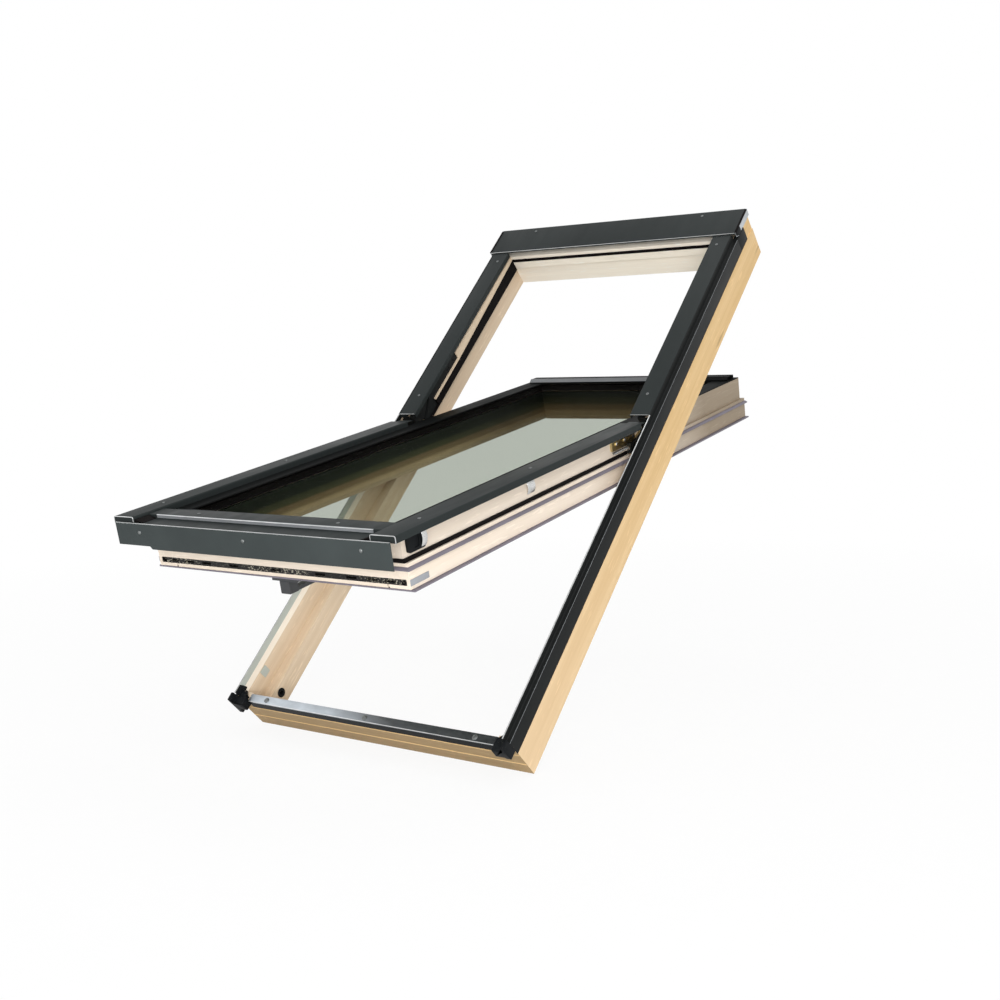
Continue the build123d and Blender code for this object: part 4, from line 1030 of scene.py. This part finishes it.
class SKYLIGHT_OT_sash_metal(bpy.types.Operator):
    """Cappings, raised claddings with black blocks of painted shade in their lower corners, ridged bottom
    cladding with facings of painted reflection, and apron in a painted lighter copy of the coating, with
    bright cut edges and beads of painted highlight along folds
    """
    bl_idname = "skylight.sash_metal"
    bl_label = "Sash metal"

    def execute(self, context):
        # The apron in the lighter copy of the coating: painted light.
        paint(finish_of("apron_coating", "sash"), "apron")
        paint(finish_of("capping_coating", "sash"), "left_capping", "right_capping", "top_capping")
        hat = arc_corners(RAISED_FOLDS, radius=4.0, steps=7)
        shade_block = arc_corners(CORNER_SHADE_BLOCK, radius=2.5, closed=True)
        for word, side in SIDES.items():
            end = on_side(hat, side)
            skins = [carried(on_side(thickened(hat, -SHEET), side), *RAISED_STRETCH, "y", CUT_EDGE),
                     carried(end, *RAISED_END, "y"),
                     rounded_strip(*CLADDING_TONGUE, side, CUT_EDGE, radius=0.5, steps=3)]
            sash_piece(f"{word}_raised_sheet", skins, "coating", [f"{word}_raised_cladding"])
            loop = np.stack([end[:, 0] * RAISED_RIM_ACROSS_SHARE, np.full(len(end), RAISED_RIM_UP),
                             end[:, 1] - RAISED_RIM_DROP], axis=-1)
            rim = bead(loop, size_of("rim_radius") * RAISED_RIM_SHARE)
            sash_piece(f"{word}_raised_rim", [rim], "bare_edge")
            # Black blocks of painted shade in the raised claddings' lower inner corners.
            block = carried(on_side(shade_block, side), *SHADE_BLOCK_STRETCH, "y", edge=1.5)
            sash_piece(f"{word}_corner_filler", [block], "seal_black")
        bottom = bent_sheet(BOTTOM_FOLDS, SHEET, radius=3.0)
        folded = carried(bottom, -BOTTOM_HALF, BOTTOM_HALF, "x", CUT_EDGE)
        sash_piece("bottom_sheet", [folded], "coating", ["bottom_cladding"])
        # Facings in the worn fold colour on the ridges: painted reflection.
        face = carried(bent_sheet(RIDGE_FOLDS, FACING, radius=1.5), -RIDGE_HALF, RIDGE_HALF, "x")
        sash_piece("ridge_face", [face], "fold_edge")
        sash_piece("ridge_rim", [cross_edge(*RIDGE_HIGHLIGHT)], "bare_edge")
        face = carried(bent_sheet(TOP_RIDGE_FOLDS, FACING, radius=1.5), -TOP_RIDGE_HALF, TOP_RIDGE_HALF, "x")
        sash_piece("top_ridge_face", [face], "ridge_sheen")
        sash_piece("apron_rim", [cross_edge(*APRON_HIGHLIGHT)], "bare_edge")
        return {"FINISHED"}


class SKYLIGHT_OT_seals(bpy.types.Operator):
    """Lip seals round the sash, whose back and front curl as t squared or cubed, and the black gaskets"""
    bl_idname = "skylight.seals"
    bl_label = "Seals"

    def execute(self, context):
        reach = size_of("seal_lip")
        t = np.linspace(0, 1, 9)
        back = np.stack([reach * t, OUTER_LIP_OUT[0] - OUTER_LIP_CURL[0] * t ** 2], axis=1)
        front = np.stack([reach * t, OUTER_LIP_OUT[1] - OUTER_LIP_CURL[1] * t ** 2], axis=1)
        outline = np.concatenate([back, front[::-1]]) * [OUTER_LIP_SHARE, 1]
        curl = ringed(outline, SASH_HALF, OUTER_LIP_FOOT, SASH_HEAD)
        sash_piece("outer_lip", [curl], "seal_grey", ["outer_lip_seal"])
        across = -INNER_LIP_ROOT + (INNER_LIP_ROOT + reach) * t
        back = np.stack([across, INNER_LIP_OUT[0] - INNER_LIP_CURL * t ** 2], axis=1)
        front = np.stack([across, INNER_LIP_OUT[1] - INNER_LIP_CURL * t ** 3], axis=1)
        curl = ringed(np.concatenate([back, front[::-1]]), SASH_HALF, INNER_LIP_FOOT, SASH_HEAD)
        sash_piece("inner_lip", [curl], "seal_grey", ["inner_lip_seal"])
        paint(finish_of("seal_black", "sash"), "groove_gasket")
        skins = [carried(box_outline(*HEAD_SEAL), -HEAD_SEAL_HALF, HEAD_SEAL_HALF, "x", CUT_EDGE)]
        for side in SIDES.values():
            skins.append(strip(*SEAL_BAND, side))
            skins.append(carried(STOP_SEAL, *between(*STOP_SEAL_STRETCH, side), "x"))
            skins.append(strip(*SEAL_CAP, side))
        frame_piece("frame_seal", skins, "seal_black", ["frame_gasket"])
        return {"FINISHED"}


class SKYLIGHT_OT_clips(bpy.types.Operator):
    """Brackets at the lower corners with curved spring clips, and the clips in the middle of the stiles"""
    bl_idname = "skylight.clips"
    bl_label = "Brackets and clips"

    def execute(self, context):
        rise = size_of("spring_rise")
        paint(finish_of("plastic_black", "sash"), "corner_brackets")
        corners = [spring_leaf(*CORNER_SPRING, rise, side) for side in SIDES.values()]
        sash_piece("corner_springs", corners, "bright_steel", ["corner_clips"])
        middles = [spring_leaf(*STILE_SPRING, rise * STILE_SPRING_SHARE, side) for side in SIDES.values()]
        sash_piece("stile_springs", middles, "bright_steel", ["stile_clips"])
        return {"FINISHED"}


class SKYLIGHT_OT_hinges(bpy.types.Operator):
    """Dark tracks, plated runners, and their links, rivets and coil springs"""
    bl_idname = "skylight.hinges"
    bl_label = "Hinges"

    def execute(self, context):
        paint(finish_of("coating_dark", "window_frame"), "left_hinge_track", "right_hinge_track")
        paint(finish_of("brass", "sash"), "left_hinge_runner", "right_hinge_runner")
        link = arc_corners(HINGE_LINK, radius=3.0, steps=6, closed=True)
        arm = arc_corners(HINGE_ARM, radius=3.5, steps=6, closed=True)
        coil = np.linspace(0, 1, COIL_TURNS * 12 + 1)
        turn = coil * 2 * math.pi * COIL_TURNS
        coil_across, coil_foot, coil_out = COIL_CENTRE
        for word, side in SIDES.items():
            head = np.array(HINGE_RIVET) * [1, side]
            rivets = [turned(head, (side * HINGE_RIVET_ACROSS, up, out), "x", sides=20)
                      for up, out in HINGE_RIVETS]
            sash_piece(f"{word}_hinge_rivets", rivets, "bright_steel")
            links = [carried(link, *between(*LINK_STRETCH, side), "x", edge=0.4),
                     carried(arm, *between(*ARM_STRETCH, side), "x", edge=0.4)]
            sash_piece(f"{word}_hinge_links", links, "brass")
            wire = np.stack([side * (coil_across + COIL_RADIUS * np.cos(turn)),
                             coil_foot + COIL_LENGTH * coil,
                             coil_out + COIL_RADIUS * np.sin(turn)], axis=1)
            sash_piece(f"{word}_hinge_spring", [bead(wire, COIL_WIRE, sides=6)], "dull_steel")
        return {"FINISHED"}


class SKYLIGHT_OT_lock(bpy.types.Operator):
    """Lock strip, handle, side bolt, and the keeps that they meet"""
    bl_idname = "skylight.lock"
    bl_label = "Lock, handle and bolt"

    def execute(self, context):
        paint(finish_of("plastic_black", "window_frame"), "bolt_socket")
        paint(finish_of("primer", "window_frame"), "keep_plates")
        paint(finish_of("lock_strip", "sash"), "lock_rail", "lock_slider")
        paint(finish_of("handle_grey", "sash"), "handle_base", "handle_lever")
        paint(finish_of("plastic_grey", "sash"), "lock_corner_plates", "bolt_guide")
        paint(finish_of("bright_steel", "sash"), "side_bolt")
        return {"FINISHED"}


def screw_heads(places, out):
    """Cross-head screws at places across and up the slope, at a height out of the roof."""
    return [crossed_head((x, y, out), size_of("screw_radius"), HEAD_HEIGHT) for x, y in places]


class SKYLIGHT_OT_fasteners(bpy.types.Operator):
    """Cross-head screws in the sheet metal, ringed screws in the sill strip and domed rivets in the apron"""
    bl_idname = "skylight.fasteners"
    bl_label = "Fasteners"

    def execute(self, context):
        hood, covers = screw_heads(HOOD_SCREWS, HOOD_TOP), screw_heads(COVER_SCREWS, COVER_TOP)
        frame_piece("hood_heads", hood, "dull_steel", ["hood_screws"])
        frame_piece("cover_heads", covers, "dull_steel", ["cover_screws"])
        cladding, rail = screw_heads(CLADDING_SCREWS, COVER_TOP), screw_heads(RAIL_SCREWS, RAIL_TOP)
        sash_piece("cladding_heads", cladding, "dull_steel", ["cladding_screws"])
        sash_piece("rail_heads", rail, "dull_steel", ["rail_screws"])
        rings = [turned(RINGED_HEAD, place, "z", sides=28) for place in SILL_SCREWS]
        frame_piece("sill_heads", rings, "dull_steel", ["sill_screws"])
        t = np.linspace(0, math.pi / 2, 7)[:-1]
        dome = np.stack([size_of("rivet_radius") * np.cos(t), -RIVET_HEIGHT * np.sin(t)], axis=1)
        dome = np.concatenate([dome, [(RIVET_TIP, -RIVET_HEIGHT)]])
        rivets = [turned(dome, place, "y", sides=24) for place in APRON_RIVETS]
        sash_piece("apron_heads", rivets, "dull_steel", ["apron_rivets"])
        return {"FINISHED"}


def seen(n):
    """1 for rays from the camera, from gloss and through glass, and 0 for the rays that light the object."""
    rays = n.add("ShaderNodeLightPath").outputs
    straight = n.math("MAXIMUM", rays["Is Camera Ray"], rays["Is Glossy Ray"])
    return n.math("MAXIMUM", straight, rays["Is Transmission Ray"])


def pale_floor(scene):
    """A pale floor under the object, which looks white, a little less so near it, and takes its shadow."""
    low = CAD_BOX[0][2] - FLOOR_GAP
    corners = [(x, y, low) for x, y in box_outline((-FLOOR_HALF, -FLOOR_HALF), (FLOOR_HALF, FLOOR_HALF))]
    mesh = bpy.data.meshes.new("pale_floor")
    mesh.from_pydata(corners, [], [(0, 1, 2, 3)])
    floor = bpy.data.objects.new("pale_floor", mesh)
    scene.collection.objects.link(floor)
    n = Nodes(bpy.data.materials.new("pale_floor"))
    far = n.add("ShaderNodeVectorMath", {0: n.placed(0.0)}, operation="LENGTH").outputs["Value"]
    share = n.math("MULTIPLY", seen(n), n.level(far, 0.9, 3.5, 0.9, 1.0))
    glow = n.add("ShaderNodeEmission", {"Color": (*WHITE, 1.0), "Strength": 1.0})
    grain = n.noise(n.placed(0.0), 30.0, 3.0)
    tone = n.mix(n.level(grain, 0.3, 0.7, 0.0, 1.0), shade(WHITE, 0.86), shade(WHITE, 0.9))
    n.set(Base_Color=tone, Roughness=0.8)
    n.output(n.add("ShaderNodeMixShader", {0: share, 1: n.shader.outputs[0], 2: glow.outputs[0]}))
    mesh.materials.append(n.owner)


def white_room(scene):
    """Surroundings that light the object softly and look white."""
    scene.world = bpy.data.worlds.new("white_room")
    n = Nodes(scene.world, "Background")
    n.set(Color=(*WHITE, 1.0), Strength=AMBIENT)
    white = n.add("ShaderNodeBackground", {"Color": (*WHITE, 1.0), "Strength": 1.0})
    n.output(n.add("ShaderNodeMixShader", {0: seen(n), 1: n.shader.outputs[0], 2: white.outputs[0]}))


def stood(right, top, back, place):
    """The matrix of a lamp or camera from its own three axes and its place."""
    matrix = np.eye(4)
    matrix[:3] = np.stack([right, top, back, place], axis=1)
    return Matrix(matrix.tolist())


def soft_lamp(scene, name, place, size, power):
    """A square lamp aimed at the origin, which glass doesn't show."""
    data = bpy.data.lights.new(name, "AREA")
    data.energy = power
    data.size = size
    lamp = bpy.data.objects.new(name, data)
    scene.collection.objects.link(lamp)
    lamp.visible_transmission = False
    aim = -np.array(place) / np.linalg.norm(place)
    side = np.cross(aim, (0, 0, 1))
    side /= np.linalg.norm(side)
    lamp.matrix_world = stood(side, np.cross(side, aim), -aim, place)


def photo_camera(scene):
    """The photograph's camera: its rows and place turned up by the roof pitch, and its centre as a shift."""
    right, down, ahead = in_roof(CAMERA_ROWS) * METRE
    data = bpy.data.cameras.new("photo_camera")
    data.sensor_fit = "HORIZONTAL"
    data.sensor_width = SENSOR
    data.lens = CAMERA_FOCAL * SENSOR / IMAGE_SIZE
    data.shift_x = (IMAGE_SIZE / 2 - CAMERA_CENTRE[0]) / IMAGE_SIZE
    data.shift_y = (CAMERA_CENTRE[1] - IMAGE_SIZE / 2) / IMAGE_SIZE
    data.clip_end = 100.0
    camera = bpy.data.objects.new("photo_camera", data)
    camera.matrix_world = stood(right, -down, -ahead, in_roof(CAMERA_PLACE))
    scene.collection.objects.link(camera)
    scene.camera = camera


class SKYLIGHT_OT_stage(bpy.types.Operator):
    """Pale floor, white surroundings, soft lamps and the camera"""
    bl_idname = "skylight.stage"
    bl_label = "Stage"

    def execute(self, context):
        scene = context.scene
        scene.view_settings.view_transform = "Standard"
        pale_floor(scene)
        white_room(scene)
        for name, (place, size, power) in LAMPS.items():
            soft_lamp(scene, name, place, size, power)
        photo_camera(scene)
        return {"FINISHED"}


STEPS = (
    SKYLIGHT_OT_timbers,
    SKYLIGHT_OT_glazing,
    SKYLIGHT_OT_frame_metal,
    SKYLIGHT_OT_hood,
    SKYLIGHT_OT_sill,
    SKYLIGHT_OT_sash_metal,
    SKYLIGHT_OT_seals,
    SKYLIGHT_OT_clips,
    SKYLIGHT_OT_hinges,
    SKYLIGHT_OT_lock,
    SKYLIGHT_OT_fasteners,
    SKYLIGHT_OT_stage,
)


class SKYLIGHT_PT_panel(bpy.types.Panel):
    """The window's building steps and settings"""
    bl_idname = "SKYLIGHT_PT_panel"
    bl_label = "Roof skylight"
    bl_space_type = "VIEW_3D"
    bl_region_type = "UI"
    bl_category = "Skylight"

    def draw(self, context):
        for step in STEPS:
            self.layout.operator(step.bl_idname)
        for group in (context.scene.skylight_sizes, context.scene.skylight_colours):
            for key in group.bl_rna.properties.keys():
                if key not in {"rna_type", "name"}:
                    self.layout.prop(group, key)


CLASSES = (SkylightColours, SkylightSizes, *STEPS, SKYLIGHT_PT_panel)


def register():
    for cls in CLASSES:
        bpy.utils.register_class(cls)
    bpy.types.Scene.skylight_colours = bpy.props.PointerProperty(type=SkylightColours)
    bpy.types.Scene.skylight_sizes = bpy.props.PointerProperty(type=SkylightSizes)


def unregister():
    del bpy.types.Scene.skylight_sizes
    del bpy.types.Scene.skylight_colours
    for cls in reversed(CLASSES):
        bpy.utils.unregister_class(cls)


def main():
    """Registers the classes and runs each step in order."""
    register()
    for step in STEPS:
        family, action = step.bl_idname.split(".")
        getattr(getattr(bpy.ops, family), action)()


if __name__ == "__main__":
    main()
